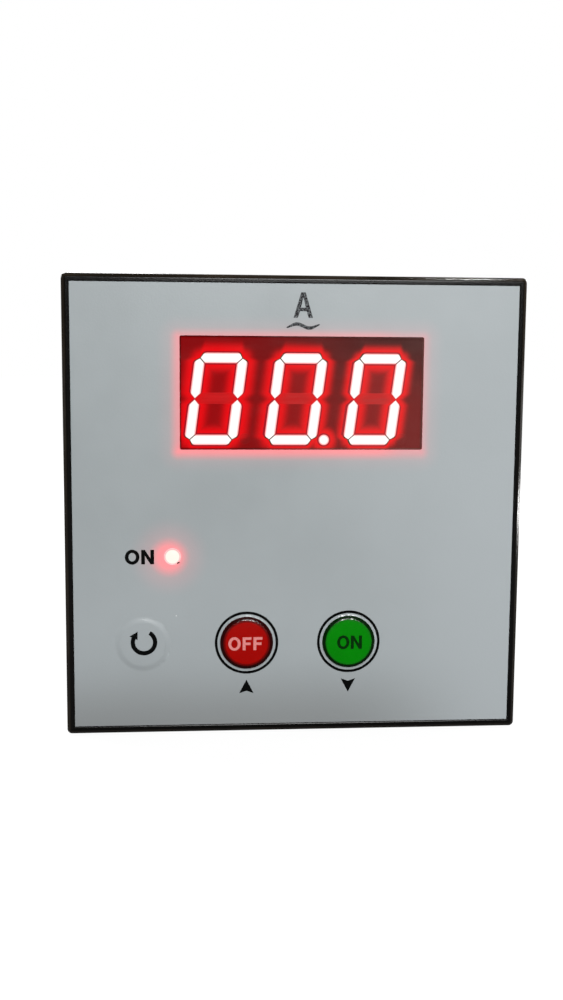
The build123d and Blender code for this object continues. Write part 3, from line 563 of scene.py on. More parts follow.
def key_finish(name, centre, disc, edge):
    """Embossed key: film round a printed dark ring that runs into a coloured disc."""
    material, tree, shader, place = finish(name, Specular_IOR_Level=0.2, Coat_Roughness=0.12, Coat_IOR=1.7)
    where = {"Place": place, "Centre X": centre.x, "Centre Z": centre.z}
    distance = use(tree, round_distance, where)["Distance"]
    on_edge = fade(tree, distance, KEY_COLOUR_RADIUS - 0.5, KEY_COLOUR_RADIUS, 0.1, 1.0)
    plain = film_grain(tree, shader, place, 0.14, 0.02, 2.6, on_edge)
    sparkle = fade(tree, noise(tree, place, 2.0, 2.0, 0.6), 0.47, 0.56)
    upper = fade(tree, split(tree, place)[2], centre.z + 1.0, centre.z + 4.0)
    shiny = calc(tree, "MULTIPLY", on_edge, calc(tree, "MULTIPLY", sparkle, upper))
    tree.links.new(shiny, shader.inputs["Coat Weight"])
    into_dark = fade(tree, distance, KEY_DARK_RADIUS - 0.06, KEY_DARK_RADIUS + 0.06, 1.0, 0.0)
    into_edge = fade(tree, distance, KEY_COLOUR_RADIUS - 0.05, KEY_COLOUR_RADIUS + 0.25, 1.0, 0.0)
    into_disc = fade(tree, distance, KEY_COLOUR_RADIUS - 0.5, KEY_COLOUR_RADIUS - 0.1, 1.0, 0.0)
    cloud = noise(tree, place, 0.35, 2.0, 0.5)
    face = blend(tree, cloud, scaled(disc, 0.9), scaled(disc, 1.1))
    shade = blend(tree, into_dark, plain, scaled(disc, 0.06))
    shade = blend(tree, into_edge, shade, edge)
    shade = blend(tree, into_disc, shade, face)
    tree.links.new(shade, shader.inputs["Base Color"])
    return material


def plain_key_finish():
    """Embossed key of bare film."""
    plain = {"Specular_IOR_Level": 0.3, "Coat_Weight": 0.5, "Coat_Roughness": 0.15}
    material, tree, shader, place = finish("key_plain", **plain)
    tree.links.new(film_grain(tree, shader, place), shader.inputs["Base Color"])
    return material


def ink(name, colour, patch, grain=3.5, cover=0.5):
    """Screen-printed ink that lies unevenly, with thinner patches above the cover level."""
    material, tree, shader, place = finish(name, Roughness=0.5, Specular_IOR_Level=0.06)
    spots = noise(tree, place, grain, 3.0, 0.6)
    thin = fade(tree, spots, cover, cover + 0.2)
    tree.links.new(blend(tree, thin, colour, patch), shader.inputs["Base Color"])
    bump(tree, shader, spots, 0.004)
    return material


def lit_bar_finish():
    """A lit bar: warm white with faint unevenness, and pink along its rim."""
    material, tree, shader, place = finish("bar_lit", Roughness=0.4, Emission_Strength=1.7)
    shader.inputs["Base Color"].default_value = rgb(130, 96, 94)
    cloud = noise(tree, place, 0.5, 2.0, 0.5)
    shine = blend(tree, cloud, (1.0, 0.97, 0.95, 1.0), (1.0, 0.94, 0.92, 1.0))
    rim = use(tree, display_light, {"Place": place})["Rim"]
    tree.links.new(blend(tree, rim, shine, (1.0, 0.27, 0.27, 1.0)), shader.inputs["Emission Color"])
    return material


DULL = {"Roughness": 0.5, "Specular_IOR_Level": 0.05}


def display_face_finish():
    """The display's face: dark, and lit red close to the bars."""
    material, tree, shader, place = finish("display_face", Emission_Strength=1.6, **DULL)
    cloud = noise(tree, place, 0.25, 2.0, 0.5)
    base = blend(tree, cloud, rgb(24, 6, 7), rgb(36, 9, 10))
    tree.links.new(base, shader.inputs["Base Color"])
    tree.links.new(use(tree, display_light, {"Place": place})["Light"], shader.inputs["Emission Color"])
    return material


def bar_border_finish():
    """The deep red line round each lit bar, a painted glow, and the olive line where two bars meet."""
    material, tree, shader, place = finish("bar_border", Emission_Strength=1.0, **DULL)
    shader.inputs["Base Color"].default_value = rgb(30, 6, 12)
    joint = use(tree, display_light, {"Place": place})["Joint"]
    cloud = noise(tree, place, 0.8, 2.0, 0.5)
    # Painted glow: the red line emits the light that spreads round the lit bars
    line = blend(tree, cloud, rgb(186, 18, 36), rgb(204, 24, 44))
    tree.links.new(blend(tree, joint, line, rgb(66, 61, 26)), shader.inputs["Emission Color"])
    return material


def unlit_bar_finish():
    """Dark bars that pick up red from their neighbours. The points look like the face round them."""
    plain = {"Roughness": 0.4, "Specular_IOR_Level": 0.05, "Emission_Strength": 1.2}
    material, tree, shader, place = finish("bar_unlit", **plain)
    shader.inputs["Base Color"].default_value = rgb(96, 26, 26)
    across, _, up = split(tree, place)
    streak = noise(tree, stretched(tree, place, (0.15, 0.15, 1.4)), 1.0, 3.0, 0.6)
    leftward = fade(tree, across, window_x + 22.0, window_x - 22.0)
    bars = blend(tree, leftward, rgb(186, 44, 42), rgb(224, 24, 28))
    bars = blend(tree, fade(tree, streak, 0.35, 0.7), bars, rgb(206, 16, 20))
    lit = use(tree, display_light, {"Place": place})
    bars = blend(tree, lit["Near"], bars, rgb(238, 10, 18))
    point = fade(tree, up, display_z - 5.0, display_z - 6.0)
    shade = blend(tree, point, bars, lit["Light"])
    tree.links.new(shade, shader.inputs["Emission Color"])
    return material


def filter_finish():
    """Clear red sheet, polished, with faint smears, lighter and browner towards the right, and painted
    shade along its edge.
    """
    material, tree, shader, place = finish("filter_clear_red", Specular_IOR_Level=0.3)
    centre = {"Place": place, "Centre X": window_x, "Centre Z": window_z}
    edge = use(tree, window_distance, centre)["Distance"]
    # Painted shade: the sheet is darker and less clear along the edge, where the film's edge shades it
    tree.links.new(fade(tree, edge, -0.5, 0.0, 0.22, 0.65), shader.inputs["Alpha"])
    smear = noise(tree, stretched(tree, place, (0.12, 0.12, 0.4)), 1.0, 3.0, 0.6)
    rightward = fade(tree, split(tree, place)[0], window_x - 20.0, window_x + 25.0)
    clear = blend(tree, smear, rgb(44, 2, 3), rgb(64, 6, 8))
    browner_right = blend(tree, smear, rgb(100, 66, 62), rgb(122, 84, 78))
    tree.links.new(blend(tree, rightward, clear, browner_right), shader.inputs["Base Color"])
    tree.links.new(fade(tree, smear, 0.3, 0.7, 0.08, 0.2), shader.inputs["Roughness"])
    return material


def lamp_finish():
    """Lit lamp lens: warm white in the middle, pink at the very edge."""
    plain = {"Roughness": 0.3, "Specular_IOR_Level": 0.1, "Emission_Strength": 1.0}
    material, tree, shader, place = finish("lamp_lit", **plain)
    shader.inputs["Base Color"].default_value = rgb(80, 40, 36)
    where = {"Place": place, "Centre X": lamp.x, "Centre Z": lamp.z}
    distance = use(tree, round_distance, where)["Distance"]
    edge = fade(tree, distance, 1.34, 1.6)
    shine = blend(tree, edge, (1.0, 0.96, 0.86, 1.0), (1.0, 0.45, 0.45, 1.0))
    tree.links.new(shine, shader.inputs["Emission Color"])
    return material


ALONG_X = (1.0, 14.0, 14.0)
ALONG_Y = (14.0, 1.0, 14.0)
ALONG_Z = (14.0, 14.0, 1.0)

bezel_plastic = bezel_finish()
case_plastic = moulded("case_plastic", rgb(44, 43, 42), 0.6, 5.0, 0.02, 0.1, 0.25)
clamp_plastic = moulded("clamp_plastic", rgb(44, 44, 44), 0.55, 5.0, 0.02, 0.1, 0.3)
terminal_plastic = moulded("terminal_plastic", rgb(52, 54, 55), 0.5, 6.0, 0.012, 0.1, 0.3)
switch_plastic = moulded("switch_plastic", rgb(24, 24, 25), 0.45, 6.0, 0.01, 0.1)
chip_plastic = moulded("chip_plastic", rgb(28, 28, 30), 0.55, 9.0, 0.01, 0.12)
bobbin_plastic = moulded("bobbin_plastic", rgb(222, 216, 196), 0.45, 5.0, 0.01, 0.06)
relay_plastic = moulded("relay_plastic", rgb(30, 48, 92), 0.35, 5.0, 0.008, 0.1)
sensor_plastic = moulded("sensor_plastic", rgb(36, 40, 58), 0.45, 5.0, 0.012, 0.1)
capacitor_sleeve = moulded("capacitor_sleeve", rgb(26, 30, 44), 0.3, 4.0, 0.006, 0.12)
tinned = metal("tinned_metal", rgb(205, 205, 200), 0.28, ALONG_Y)
spring_steel = metal("spring_steel", rgb(196, 196, 190), 0.24, ALONG_X)
screw_steel = metal("screw_zinc", rgb(196, 193, 184), 0.34, ALONG_Z)
brass_contact = metal("contact_brass", rgb(196, 156, 90), 0.3, ALONG_Z)
copper_bar = metal("bar_copper", rgb(196, 118, 82), 0.3, ALONG_Y)
front_laminate = circuit_board("display_board_mask", 0, 2)
main_laminate = circuit_board("main_board_mask", 0, 1)
core_sheets = striped("core_sheets", rgb(118, 116, 114), rgb(48, 46, 45), 1, 0.7, 0.06, 0.8, 0.45)
winding_turns = striped("winding_turns", rgb(186, 108, 58), rgb(96, 46, 22), 2, 0.35, 0.08, 0.7, 0.35)
film = film_finish()
key_red = key_finish("key_red", keys["off"], rgb(170, 5, 1), rgb(108, 3, 2))
key_green = key_finish("key_green", keys["on"], rgb(2, 137, 4), rgb(10, 126, 14))
key_plain = plain_key_finish()
black_ink = ink("ink_black", rgb(3, 4, 4), rgb(9, 10, 11))
brown_fleck = ink("fleck_brown", rgb(70, 40, 30), rgb(30, 18, 14))
worn_ink = ink("ink_worn", rgb(28, 24, 28), rgb(112, 116, 118), 3.2, 0.43)
pink_ink = ink("ink_pink", rgb(238, 150, 147), rgb(220, 112, 108))
green_ink = ink("ink_green", rgb(1, 46, 3), rgb(4, 64, 8))
white_ink = ink("ink_white", rgb(206, 206, 202), rgb(168, 168, 165))
display_face = display_face_finish()
bar_border = bar_border_finish()
lit_bar = lit_bar_finish()
unlit_bar = unlit_bar_finish()
filter_red = filter_finish()
lamp_lit = lamp_finish()

NODE_FINISHES = {
    "front_bezel": bezel_plastic,
    "front_overlay": film,
    "display_filter": filter_red,
    "display_housing": display_face,
    "display_segments_lit": bar_border,
    "display_segments_unlit": unlit_bar,
    "display_pins": tinned,
    "indicator_led": lamp_lit,
    "led_leads": tinned,
    "off_key": key_red,
    "on_key": key_green,
    "reset_key": key_plain,
    "switch_bases": switch_plastic,
    "switch_covers": tinned,
    "switch_legs": tinned,
    "display_board": front_laminate,
    "microcontroller": chip_plastic,
    "segment_resistors": chip_plastic,
    "main_board": main_laminate,
    "header_strip": switch_plastic,
    "header_pins": tinned,
    "transformer_core": core_sheets,
    "transformer_bobbin": bobbin_plastic,
    "transformer_winding": winding_turns,
    "relay": relay_plastic,
    "current_transformer": sensor_plastic,
    "current_bar": copper_bar,
    "filter_capacitor": capacitor_sleeve,
    "bridge_rectifier": chip_plastic,
    "voltage_regulator": chip_plastic,
    "rear_case": case_plastic,
    "terminal_block": terminal_plastic,
    "terminal_contacts": brass_contact,
    "terminal_screws": screw_steel,
    "clamp_left": clamp_plastic,
    "clamp_right": clamp_plastic,
}

for name in keys:
    NODE_FINISHES[f"{name}_plunger"] = switch_plastic
    NODE_FINISHES[f"{name}_snap_spring"] = spring_steel

for node, material in NODE_FINISHES.items():
    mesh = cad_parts[node].data
    mesh.materials.clear()
    mesh.materials.append(material)


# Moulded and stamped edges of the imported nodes

def ease_edges(node, width, segments=2):
    """Round a node's sharp edges a little, as a mould leaves them."""
    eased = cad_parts[node]
    weld = eased.modifiers.new("weld", "WELD")
    weld.merge_threshold = 0.001 * MM
    flat = eased.modifiers.new("flat", "DECIMATE")
    flat.decimate_type = "DISSOLVE"
    flat.angle_limit = radians(1.0)
    edge = eased.modifiers.new("edge", "BEVEL")
    edge.width = width * MM
    edge.segments = segments
    edge.limit_method = "ANGLE"
    edge.angle_limit = radians(35)
    edge.use_clamp_overlap = True
    edge.harden_normals = False


for node, width in {
    "front_bezel": 0.15,
    "rear_case": 0.25,
    "terminal_block": 0.2,
    "terminal_screws": 0.15,
    "clamp_left": 0.25,
    "clamp_right": 0.25,
}.items():
    ease_edges(node, width)


# Pieces modelled here

def piece(bm, name, material, body, slot, *nodes):
    """Make an object of a mesh built in millimetres. It rides on a body and may stand for nodes."""
    bmesh.ops.remove_doubles(bm, verts=bm.verts, dist=0.0005)
    bmesh.ops.recalc_face_normals(bm, faces=bm.faces)
    bmesh.ops.scale(bm, vec=(MM, MM, MM), verts=bm.verts)
    mesh = bpy.data.meshes.new(name)
    bm.to_mesh(mesh)
    bm.free()
    mesh.materials.append(material)
    made = bpy.data.objects.new(name, mesh)
    bpy.context.scene.collection.objects.link(made)
    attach(made, body)
    if nodes:
        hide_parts(*nodes)
    return made


def shade_smooth(made, angle=40):
    """Smooth shading, apart from edges sharper than the angle."""
    made.data.set_sharp_from_angle(angle=radians(angle))
    made.data.polygons.foreach_set("use_smooth", [True] * len(made.data.polygons))
    made.data.update()


def turned(profile, centre, steps=96):
    """A solid turned about an axis along Y: the profile is radii and depths, from the axis to the axis."""
    bm = bmesh.new()
    verts = [bm.verts.new((radius, y, 0)) for radius, y in profile]
    edges = [bm.edges.new(pair) for pair in zip(verts, verts[1:])]
    bmesh.ops.spin(
        bm, geom=verts + edges, cent=(0, 0, 0), axis=(0, 1, 0), angle=2 * pi, steps=steps, use_merge=True
    )
    bmesh.ops.remove_doubles(bm, verts=bm.verts, dist=0.0005)
    bmesh.ops.translate(bm, vec=(centre.x, 0, centre.z), verts=bm.verts)
    return bm


KEY_CROWN = 0.06
KEY_SHOULDER = 4.75
KEY_CURVE_STEPS = 14
RESET_HEIGHT = 0.32
RESET_SHOULDER = 4.4


def embossed_key(name, material, slot, height, edge=KEY_SHOULDER):
    """A key raised out of the film: a crowned disc whose edge runs down to the film in a smooth curve."""
    centre = keys[name]
    shoulder = film_front - height + KEY_CROWN
    profile = [(0, film_front - height), (edge * 0.55, film_front - height + KEY_CROWN * 0.3)]
    for step in range(KEY_CURVE_STEPS + 1):
        part = step / KEY_CURVE_STEPS
        radius = edge + (KEY_HOLE_RADIUS - edge) * part
        profile.append((radius, shoulder + (film_front - shoulder) * (1 - cos(pi * part)) / 2))
    profile += [(KEY_HOLE_RADIUS, key_back), (0, key_back)]
    bm = turned(profile, centre)
    shade_smooth(piece(bm, f"{name}_embossed_key", material, f"{name}_button", slot, f"{name}_key"))


key_height = film_front - key_top
embossed_key("off", key_red, "key_red", key_height)
embossed_key("on", key_green, "key_green", key_height)
embossed_key("reset", key_plain, "film_grey", RESET_HEIGHT, RESET_SHOULDER)


def lamp_lens():
    """The lamp's lens: a round nose on a straight body with a flange."""
    low, high = span("indicator_led")
    flange = (high.x - low.x) / 2
    flange_front = high.y - LENS_FLANGE
    proud = film_front - low.y
    turns = [pi / 2 * i / LENS_STEPS for i in range(LENS_STEPS + 1)]
    nose = [(LENS_RADIUS * sin(t), low.y + proud * (1 - cos(t))) for t in turns]
    profile = nose + [(LENS_RADIUS, flange_front), (flange, flange_front), (flange, high.y), (0, high.y)]
    bm = turned(profile, lamp, 48)
    shade_smooth(piece(bm, "lamp_lens", lamp_lit, "housing", "lamp_lens", "indicator_led"))


lamp_lens()


def hole_fleck():
    """A dark fleck at the lower right of the lamp's hole."""
    bm = bmesh.new()
    bmesh.ops.create_icosphere(bm, subdivisions=2, radius=FLECK_RADIUS)
    bmesh.ops.scale(bm, vec=FLECK_STRETCH, verts=bm.verts)
    bmesh.ops.rotate(bm, cent=(0, 0, 0), matrix=Matrix.Rotation(FLECK_TURN, 3, "Y"), verts=bm.verts)
    bmesh.ops.translate(
        bm, vec=(lamp.x + FLECK_RIGHT, film_front - FLECK_PROUD, lamp.z - FLECK_DROP), verts=bm.verts
    )
    piece(bm, "lamp_hole_fleck", brown_fleck, "housing", "film_grey")


hole_fleck()


# Print

def flat_ring(bm, outer, inner, x=0.0, z=0.0):
    """A flat ring between two ellipses given by their half axes."""
    edges = set()
    for wide, high in (outer, inner):
        made = bmesh.ops.create_circle(bm, radius=1.0, segments=RING_STEPS)["verts"]
        bmesh.ops.scale(bm, vec=(wide, high, 1), verts=made)
        bmesh.ops.translate(bm, vec=(x, z, 0), verts=made)
        edges.update(edge for vert in made for edge in vert.link_edges)
    bmesh.ops.bridge_loops(bm, edges=list(edges))


def flat_shape(bm, points, x=0.0, z=0.0):
    """A flat shape with straight sides. It gives the shape's corners."""
    corners = [bm.verts.new((x + px, z + pz, 0)) for px, pz in points]
    bm.faces.new(corners)
    return corners


def letter_o(bm, x, width, height, stroke):
    """The letter O, with its left edge at x and its middle at height zero."""
    outer = (width / 2, height / 2 + 0.05)
    inner = (width / 2 - stroke, height / 2 + 0.05 - stroke * 0.88)
    flat_ring(bm, outer, inner, x + width / 2)


def letter_n(bm, x, width, height, stroke):
    """The letter N as one outline."""
    slope = stroke * 1.65
    points = [
        (0, 0), (stroke, 0), (stroke, height - slope), (width - stroke, 0), (width, 0),
        (width, height), (width - stroke, height), (width - stroke, slope), (stroke, height), (0, height),
    ]
    flat_shape(bm, points, x, -height / 2)


def letter_f(bm, x, width, height, stroke):
    """The letter F as one outline."""
    arm = stroke * 0.88
    low = height * 0.4
    points = [
        (0, 0), (stroke, 0), (stroke, low), (width * 0.9, low), (width * 0.9, low + arm),
        (stroke, low + arm), (stroke, height - arm), (width, height - arm), (width, height), (0, height),
    ]
    flat_shape(bm, points, x, -height / 2)


def letter_a(bm, width, height, stroke):
    """The letter A: one half and its mirror image, meeting in the middle."""
    half = width / 2
    foot = stroke * 1.08
    slope = (half - stroke * 0.55) / height
    bar_low = height * 0.26
    bar_high = bar_low + stroke * 0.85
    tip = height - stroke * 1.25
    inner = foot - half
    points = [
        (-half, 0), (inner, 0), (inner + bar_low * slope, bar_low), (0, bar_low), (0, bar_high),
        (inner + bar_high * slope, bar_high), (0, tip), (0, height), (-stroke * 0.55, height),
    ]
    flat_shape(bm, points, 0, -height / 2)
    bmesh.ops.mirror(bm, geom=bm.verts[:] + bm.edges[:] + bm.faces[:], axis="X", merge_dist=0.001)


def wave_sign(bm, width, height, stroke, steps=36):
    """A wave that starts low and ends high, and thins out at both ends."""
    bmesh.ops.create_grid(bm, x_segments=steps, y_segments=1, size=0.5)
    for vert in bm.verts:
        along = vert.co.x * 2
        thick = stroke * (1 - 0.7 * abs(along) ** 3)
        side = 1 if vert.co.y > 0 else -1
        rise = -sin(along * pi * WAVE_TURNS) * (height - stroke) / 2
        vert.co = (along * width / 2, rise + side * thick / 2, 0)


def turn_arrow(bm):
    """An open circle with an arrowhead at its upper left end."""
    inner = bm.verts.new((TURN_INNER * sin(TURN_START), TURN_INNER * cos(TURN_START), 0))
    outer = bm.verts.new((TURN_OUTER * sin(TURN_START), TURN_OUTER * cos(TURN_START), 0))
    edge = bm.edges.new((inner, outer))
    bmesh.ops.spin(
        bm, geom=[inner, outer, edge], cent=(0, 0, 0), axis=(0, 0, 1), angle=-TURN_SWEEP,
        steps=TURN_STEPS, use_merge=False,
    )
    flat_shape(bm, TURN_HEAD)


def printed(
    bm, name, material, x, z, body="housing", slot="film_grey",
    level=film_front, thick=PRINT_THICKNESS, rear=False,
):
    """Lay a flat shape on the film, or on another level facing the front or the rear, as a thin layer."""
    raised = bmesh.ops.extrude_face_region(bm, geom=bm.faces[:])["geom"]
    up = [part for part in raised if isinstance(part, bmesh.types.BMVert)]
    bmesh.ops.translate(bm, vec=(0, 0, thick), verts=up)
    bmesh.ops.rotate(bm, cent=(0, 0, 0), matrix=Matrix.Rotation(pi / 2, 3, "X"), verts=bm.verts)
    bmesh.ops.translate(bm, vec=(0, PRINT_SINK, 0), verts=bm.verts)
    if rear:
        bmesh.ops.rotate(bm, cent=(0, 0, 0), matrix=Matrix.Rotation(pi, 3, "Z"), verts=bm.verts)
    bmesh.ops.translate(bm, vec=(x, level, z), verts=bm.verts)
    piece(bm, name, material, body, slot)


def print_word(name, material, x, z, letters, height, stroke, gap, **where):
    """Print a word. Its letters are drawing functions with their widths, and x is its left edge."""
    bm = bmesh.new()
    start = 0.0
    for draw, width in letters:
        draw(bm, start, width, height, stroke)
        start += width + gap
    printed(bm, name, material, x, z, **where)


print_word(
    "lamp_word", black_ink, LAMP_WORD_LEFT, lamp.z - LAMP_WORD_DROP,
    [(letter_o, 3.02), (letter_n, 2.66)], height=3.04, stroke=0.76, gap=0.36,
)

text_level = key_top + KEY_CROWN * 0.15
print_word(
    "off_word", pink_ink, keys["off"].x - OFF_WORD_LEFT, keys["off"].z - OFF_WORD_DROP,
    [(letter_o, 2.6), (letter_f, 1.85), (letter_f, 1.9)], height=2.8, stroke=0.62, gap=0.42,
    body="off_button", slot="key_red", level=text_level,
)
print_word(
    "on_word", green_ink, keys["on"].x - ON_WORD_LEFT, keys["on"].z - ON_WORD_DROP,
    [(letter_o, 2.63), (letter_n, 2.4)], height=2.9, stroke=0.66, gap=0.29,
    body="on_button", slot="key_green", level=text_level,
)

for name in ("off", "on"):
    ring = bmesh.new()
    flat_ring(ring, (KEY_RING_OUTER,) * 2, (KEY_RING_INNER,) * 2)
    printed(ring, f"{name}_ring", black_ink, keys[name].x, keys[name].z)
    arrow = bmesh.new()
    way = 1 if name == "off" else -1
    tip = way * ARROW_HEIGHT / 2
    corner = ARROW_WIDTH / 2
    flat_shape(arrow, [(0, tip), (-corner, -tip), (0, way * ARROW_NOTCH - tip), (corner, -tip)])
    printed(arrow, f"{name}_arrow", black_ink, keys[name].x, keys[name].z - ARROW_DROP - ARROW_HEIGHT / 2)

turn = bmesh.new()
turn_arrow(turn)
printed(
    turn, "reset_turn_arrow", black_ink, keys["reset"].x + TURN_RIGHT, keys["reset"].z + TURN_RISE,
    body="reset_button", slot="film_grey", level=film_front - RESET_HEIGHT + KEY_CROWN * 0.15,
)

unit = bmesh.new()
letter_a(unit, width=4.0, height=5.15, stroke=0.82)
printed(unit, "unit_letter", worn_ink, UNIT_X, UNIT_LETTER_Z)
wave = bmesh.new()
wave_sign(wave, width=6.85, height=1.55, stroke=0.74)
printed(wave, "unit_wave", worn_ink, UNIT_X, UNIT_WAVE_Z)


# Numbers of the terminals, on the case above the block

TERMINAL_COUNT = 6
TERMINAL_PITCH = 10.0
NUMBER_SIZE = 4.2
NUMBER_RISE = 2.2


def terminal_number(count):
    """Print a terminal's number on the rear of the case. The first is at the left, seen from the rear."""
    text = bpy.data.curves.new("number", "FONT")
    text.body = str(count)
    text.size = NUMBER_SIZE
    text.align_x = "CENTER"
    holder = bpy.data.objects.new("number", text)
    bm = bmesh.new()
    bm.from_mesh(bpy.data.meshes.new_from_object(holder))
    bpy.data.objects.remove(holder)
    x = ((TERMINAL_COUNT + 1) / 2 - count) * TERMINAL_PITCH
    z = span("terminal_block")[1].z + NUMBER_RISE
    back = span("rear_case")[1].y
    printed(bm, f"terminal_number_{count}", white_ink, x, z, slot="case_plastic", level=back, rear=True)


for count in range(1, TERMINAL_COUNT + 1):
    terminal_number(count)


# Grip ribs of the clamps

CLAMP_PLATE = 47.2
RIB_RADIUS = 0.55
RIB_LENGTH = 10.5
RIB_DEPTHS = (19.4, 21.2, 23.0, 24.8)


def clamp_ribs(name, side):
    """Rounded ribs across a clamp's outer plate, for the thumb."""
    bm = bmesh.new()
    for depth in RIB_DEPTHS:
        made = bmesh.ops.create_cone(
            bm, cap_ends=True, segments=20, radius1=RIB_RADIUS, radius2=RIB_RADIUS, depth=RIB_LENGTH
        )["verts"]
        bmesh.ops.translate(bm, vec=(side * CLAMP_PLATE, depth, 0), verts=made)
    ends = [edge for edge in bm.edges if edge.calc_face_angle(0.0) > pi / 4]
    bmesh.ops.bevel(bm, geom=ends, offset=0.2, segments=2, profile=0.5, affect="EDGES", material=-1)
    shade_smooth(piece(bm, f"{name}_ribs", clamp_plastic, name, "clamp_plastic"))


clamp_ribs("clamp_left", -1)
clamp_ribs("clamp_right", 1)


# Lit faces of the display's bars

def flat_bar(bm, start, end, shift, grow, tip, first_cut, last_cut):
    """A flat six-sided bar between two joints of a slanted digit, with its outer corners rounded."""
    along = (end - start).normalized()
    across = Vector((-along.y, along.x))
    half = BAR_WIDTH / 2 + grow
    first = start + along * tip
    last = end - along * tip
    points = [
        first,
        first + along * first_cut + across * half,
        last - along * last_cut + across * half,
        last,
        last - (along + across) * half,
        first + (along - across) * half,
    ]
    lean = tan(radians(DIGIT_SLANT))
    corners = flat_shape(bm, [(p.x + p.y * lean, p.y) for p in points], shift)
    bmesh.ops.bevel(
        bm, geom=corners[1:3], offset=BAR_ROUNDING, segments=3, profile=0.5, affect="VERTICES", material=-1
    )


def lit_layer(name, material, slot, grow, tip, thick):
    """A thin layer in the shape of all lit bars and the lit point, on the display's face."""
    side = BAR_SPACING / 2
    rise = BAR_RUN / 2
    joints = [(-side, rise), (side, rise), (side, 0), (side, -rise), (-side, -rise), (-side, 0)]
    joints = [Vector(joint) for joint in joints]
    bm = bmesh.new()
    for digit in (-1, 0, 1):
        for first, start in enumerate(joints):
            end = joints[(first + 1) % len(joints)]
            cuts = [BAR_CORNER_CUT if joint.y else BAR_WIDTH / 2 + grow for joint in (start, end)]
            flat_bar(bm, start, end, digit * DIGIT_PITCH, grow, tip, *cuts)
    bmesh.ops.remove_doubles(bm, verts=bm.verts, dist=0.001)
    round_point = bmesh.ops.create_circle(bm, cap_ends=True, radius=POINT_RADIUS + grow, segments=48)
    bmesh.ops.translate(bm, vec=(POINT_RIGHT, -rise, 0), verts=round_point["verts"])
    printed(bm, name, material, digit_x, lit_z, slot=slot, level=display_front, thick=thick)


lit_layer("bar_borders", bar_border, "display_body", BORDER_WIDTH, 0.0, BORDER_THICKNESS)
lit_layer("lit_bar_faces", lit_bar, "segment_lit", -BAR_INSET, BAR_GAP / 2, FACE_THICKNESS)


# Snap springs under the plungers


def snap_spring(name):
    """A bowed leaf of spring strip, standing for the node, with a mesh of its own."""
    node = f"{name}_snap_spring"
    low, high = span(node)
    bm = bmesh.new()
    bmesh.ops.create_grid(bm, x_segments=16, y_segments=1, size=0.5)
    thickness = 0.12
    for vert in bm.verts:
        along = vert.co.x * 2
        rise = (high.y - low.y - thickness) * (1 - along * along)
        vert.co = (
            (low.x + high.x) / 2 + along * (high.x - low.x) / 2,
            high.y - thickness - rise,
            (low.z + high.z) / 2 + vert.co.y * (high.z - low.z),
        )
    raised = bmesh.ops.extrude_face_region(bm, geom=bm.faces[:])["geom"]
    under = [part for part in raised if isinstance(part, bmesh.types.BMVert)]
    bmesh.ops.translate(bm, vec=(0, thickness, 0), verts=under)
    made = piece(bm, f"{name}_snap_leaf", spring_steel, "housing", "spring_steel", node)
    shade_smooth(made)
    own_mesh(made)


for name in keys:
    snap_spring(name)


# Stage: white floor and backdrop, soft lights, camera

def stage_floor():
    """A white floor that keeps the object's shadow."""
    floor_z = cad_box[0].z
    mesh = bpy.data.meshes.new("floor")
    bm = bmesh.new()
    bmesh.ops.create_grid(bm, x_segments=1, y_segments=1, size=FLOOR_HALF)
    bmesh.ops.translate(bm, vec=(0, 0, floor_z), verts=bm.verts)
    bm.to_mesh(mesh)
    bm.free()
    floor = bpy.data.objects.new("floor", mesh)
    bpy.context.scene.collection.objects.link(floor)
    material = bpy.data.materials.new("floor_white")
    material.use_nodes = True
    tree = material.node_tree
    tree.nodes.clear()
    path = tree.nodes.new("ShaderNodeLightPath").outputs
    seen = calc(tree, "MAXIMUM", path["Is Camera Ray"], path["Is Transmission Ray"])
    lit = add(tree, "ShaderNodeBsdfDiffuse", {"Color": (0.1, 0.1, 0.1, 1.0)}).outputs[0]
    where = tree.nodes.new("ShaderNodeTexCoord").outputs["Object"]
    away = add(tree, "ShaderNodeVectorMath", {0: where}, operation="LENGTH").outputs["Value"]
    white = fade(tree, away, 0.12, 0.35, FLOOR_SHINE, 1.0)
    mirrored = fade(tree, split(tree, where)[1], 0.05, 0.25, REFLECTED_FRONT, REFLECTED_REAR)
    seen = calc(tree, "MAXIMUM", seen, calc(tree, "MULTIPLY", path["Is Glossy Ray"], mirrored))
    shine = add(tree, "ShaderNodeEmission", {"Strength": calc(tree, "MULTIPLY", seen, white)}).outputs[0]
    both = add(tree, "ShaderNodeAddShader", {0: lit, 1: shine}).outputs[0]
    add(tree, "ShaderNodeOutputMaterial", {0: both})
    mesh.materials.append(material)


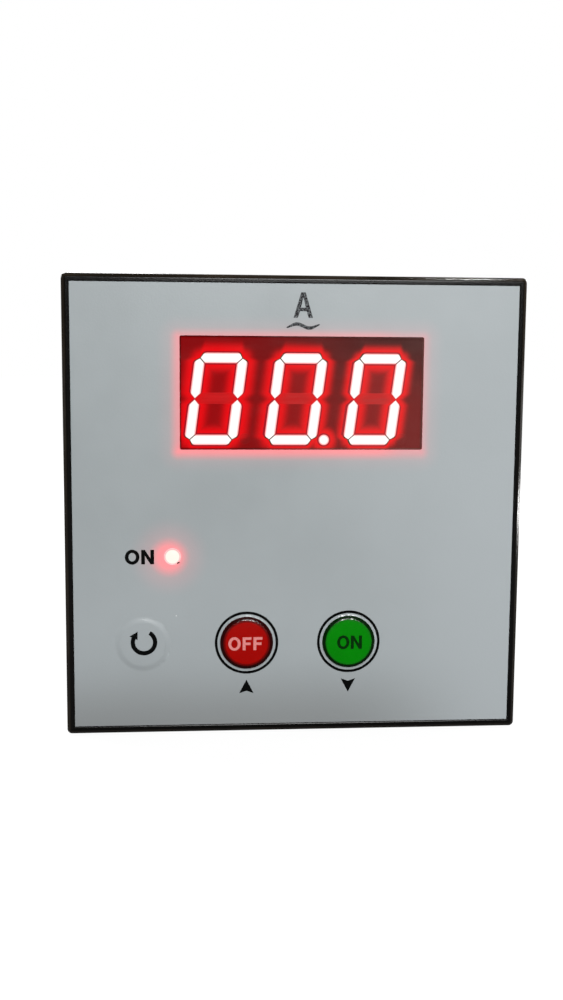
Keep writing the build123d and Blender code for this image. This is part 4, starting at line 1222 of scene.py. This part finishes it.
def stage_world():
    """A backdrop that is white to the camera and gives a soft light to the object."""
    world = bpy.data.worlds.new("studio")
    bpy.context.scene.world = world
    world.use_nodes = True
    tree = world.node_tree
    tree.nodes.clear()
    path = tree.nodes.new("ShaderNodeLightPath").outputs
    seen = calc(tree, "MAXIMUM", path["Is Camera Ray"], path["Is Transmission Ray"])
    toward = split(tree, tree.nodes.new("ShaderNodeTexCoord").outputs["Generated"])[1]
    reflected = fade(tree, toward, 0.3, 0.8, REFLECTED_FRONT, REFLECTED_REAR)
    unseen = add(tree, "ShaderNodeMix", {0: path["Is Glossy Ray"], 2: WORLD_LIGHT, 3: reflected}).outputs[0]
    strength = add(tree, "ShaderNodeMix", {0: seen, 2: unseen, 3: 1.0}).outputs[0]
    inputs = {"Color": (1.0, 1.0, 1.0, 1.0), "Strength": strength}
    back = add(tree, "ShaderNodeBackground", inputs).outputs[0]
    add(tree, "ShaderNodeOutputWorld", {0: back})


def area_light(name, place, aim, size, power):
    """A soft square light in millimetres, pointing at a place."""
    data = bpy.data.lights.new(name, "AREA")
    data.shape = "SQUARE"
    data.size = size * MM
    data.energy = power
    light = bpy.data.objects.new(name, data)
    bpy.context.scene.collection.objects.link(light)
    light.location = Vector(place) * MM
    light.rotation_euler = (Vector(aim) - Vector(place)).to_track_quat("-Z", "Y").to_euler()


def stage_camera():
    """The photograph's viewpoint."""
    azimuth, elevation, roll = (radians(v) for v in (CAMERA_AZIMUTH, CAMERA_ELEVATION, CAMERA_ROLL))
    back = Vector((sin(azimuth) * cos(elevation), -cos(azimuth) * cos(elevation), sin(elevation)))
    across = (-back).cross(Vector((0, 0, 1))).normalized()
    up = across.cross(-back)
    turned_across = across * cos(roll) + up * sin(roll)
    turned_up = up * cos(roll) - across * sin(roll)
    data = bpy.data.cameras.new("camera")
    data.sensor_width = SENSOR
    data.lens = SENSOR * FOCAL_PIXELS / IMAGE_HEIGHT
    data.clip_start = 0.01
    camera = bpy.data.objects.new("camera", data)
    bpy.context.scene.collection.objects.link(camera)
    aim = Vector((AIM_RIGHT, film_front, AIM_UP))
    turn_matrix = Matrix((turned_across, turned_up, back)).transposed().to_4x4()
    camera.matrix_world = Matrix.Translation((aim + back * CAMERA_DISTANCE) * MM) @ turn_matrix
    bpy.context.scene.camera = camera


stage_floor()
stage_world()
area_light("softbox_front", (52, -408, 186), (0, 0, 0), size=175, power=1.76)
area_light("ceiling_lamp", (114, 10, 337), (40, -6, 48), size=12, power=0.1)
area_light("side_lamp", (334, 75, -39), (48, -6, 0), size=13, power=0.032)
area_light("softbox_rear", (-150, 420, 380), (0, 30, 0), size=300, power=4.0)
area_light("softbox_left", (-470, 340, 200), (0, 25, 0), size=200, power=1.9)
area_light("softbox_right", (470, 340, 200), (0, 25, 0), size=200, power=2.2)
stage_camera()

bpy.context.scene.view_settings.view_transform = "Standard"
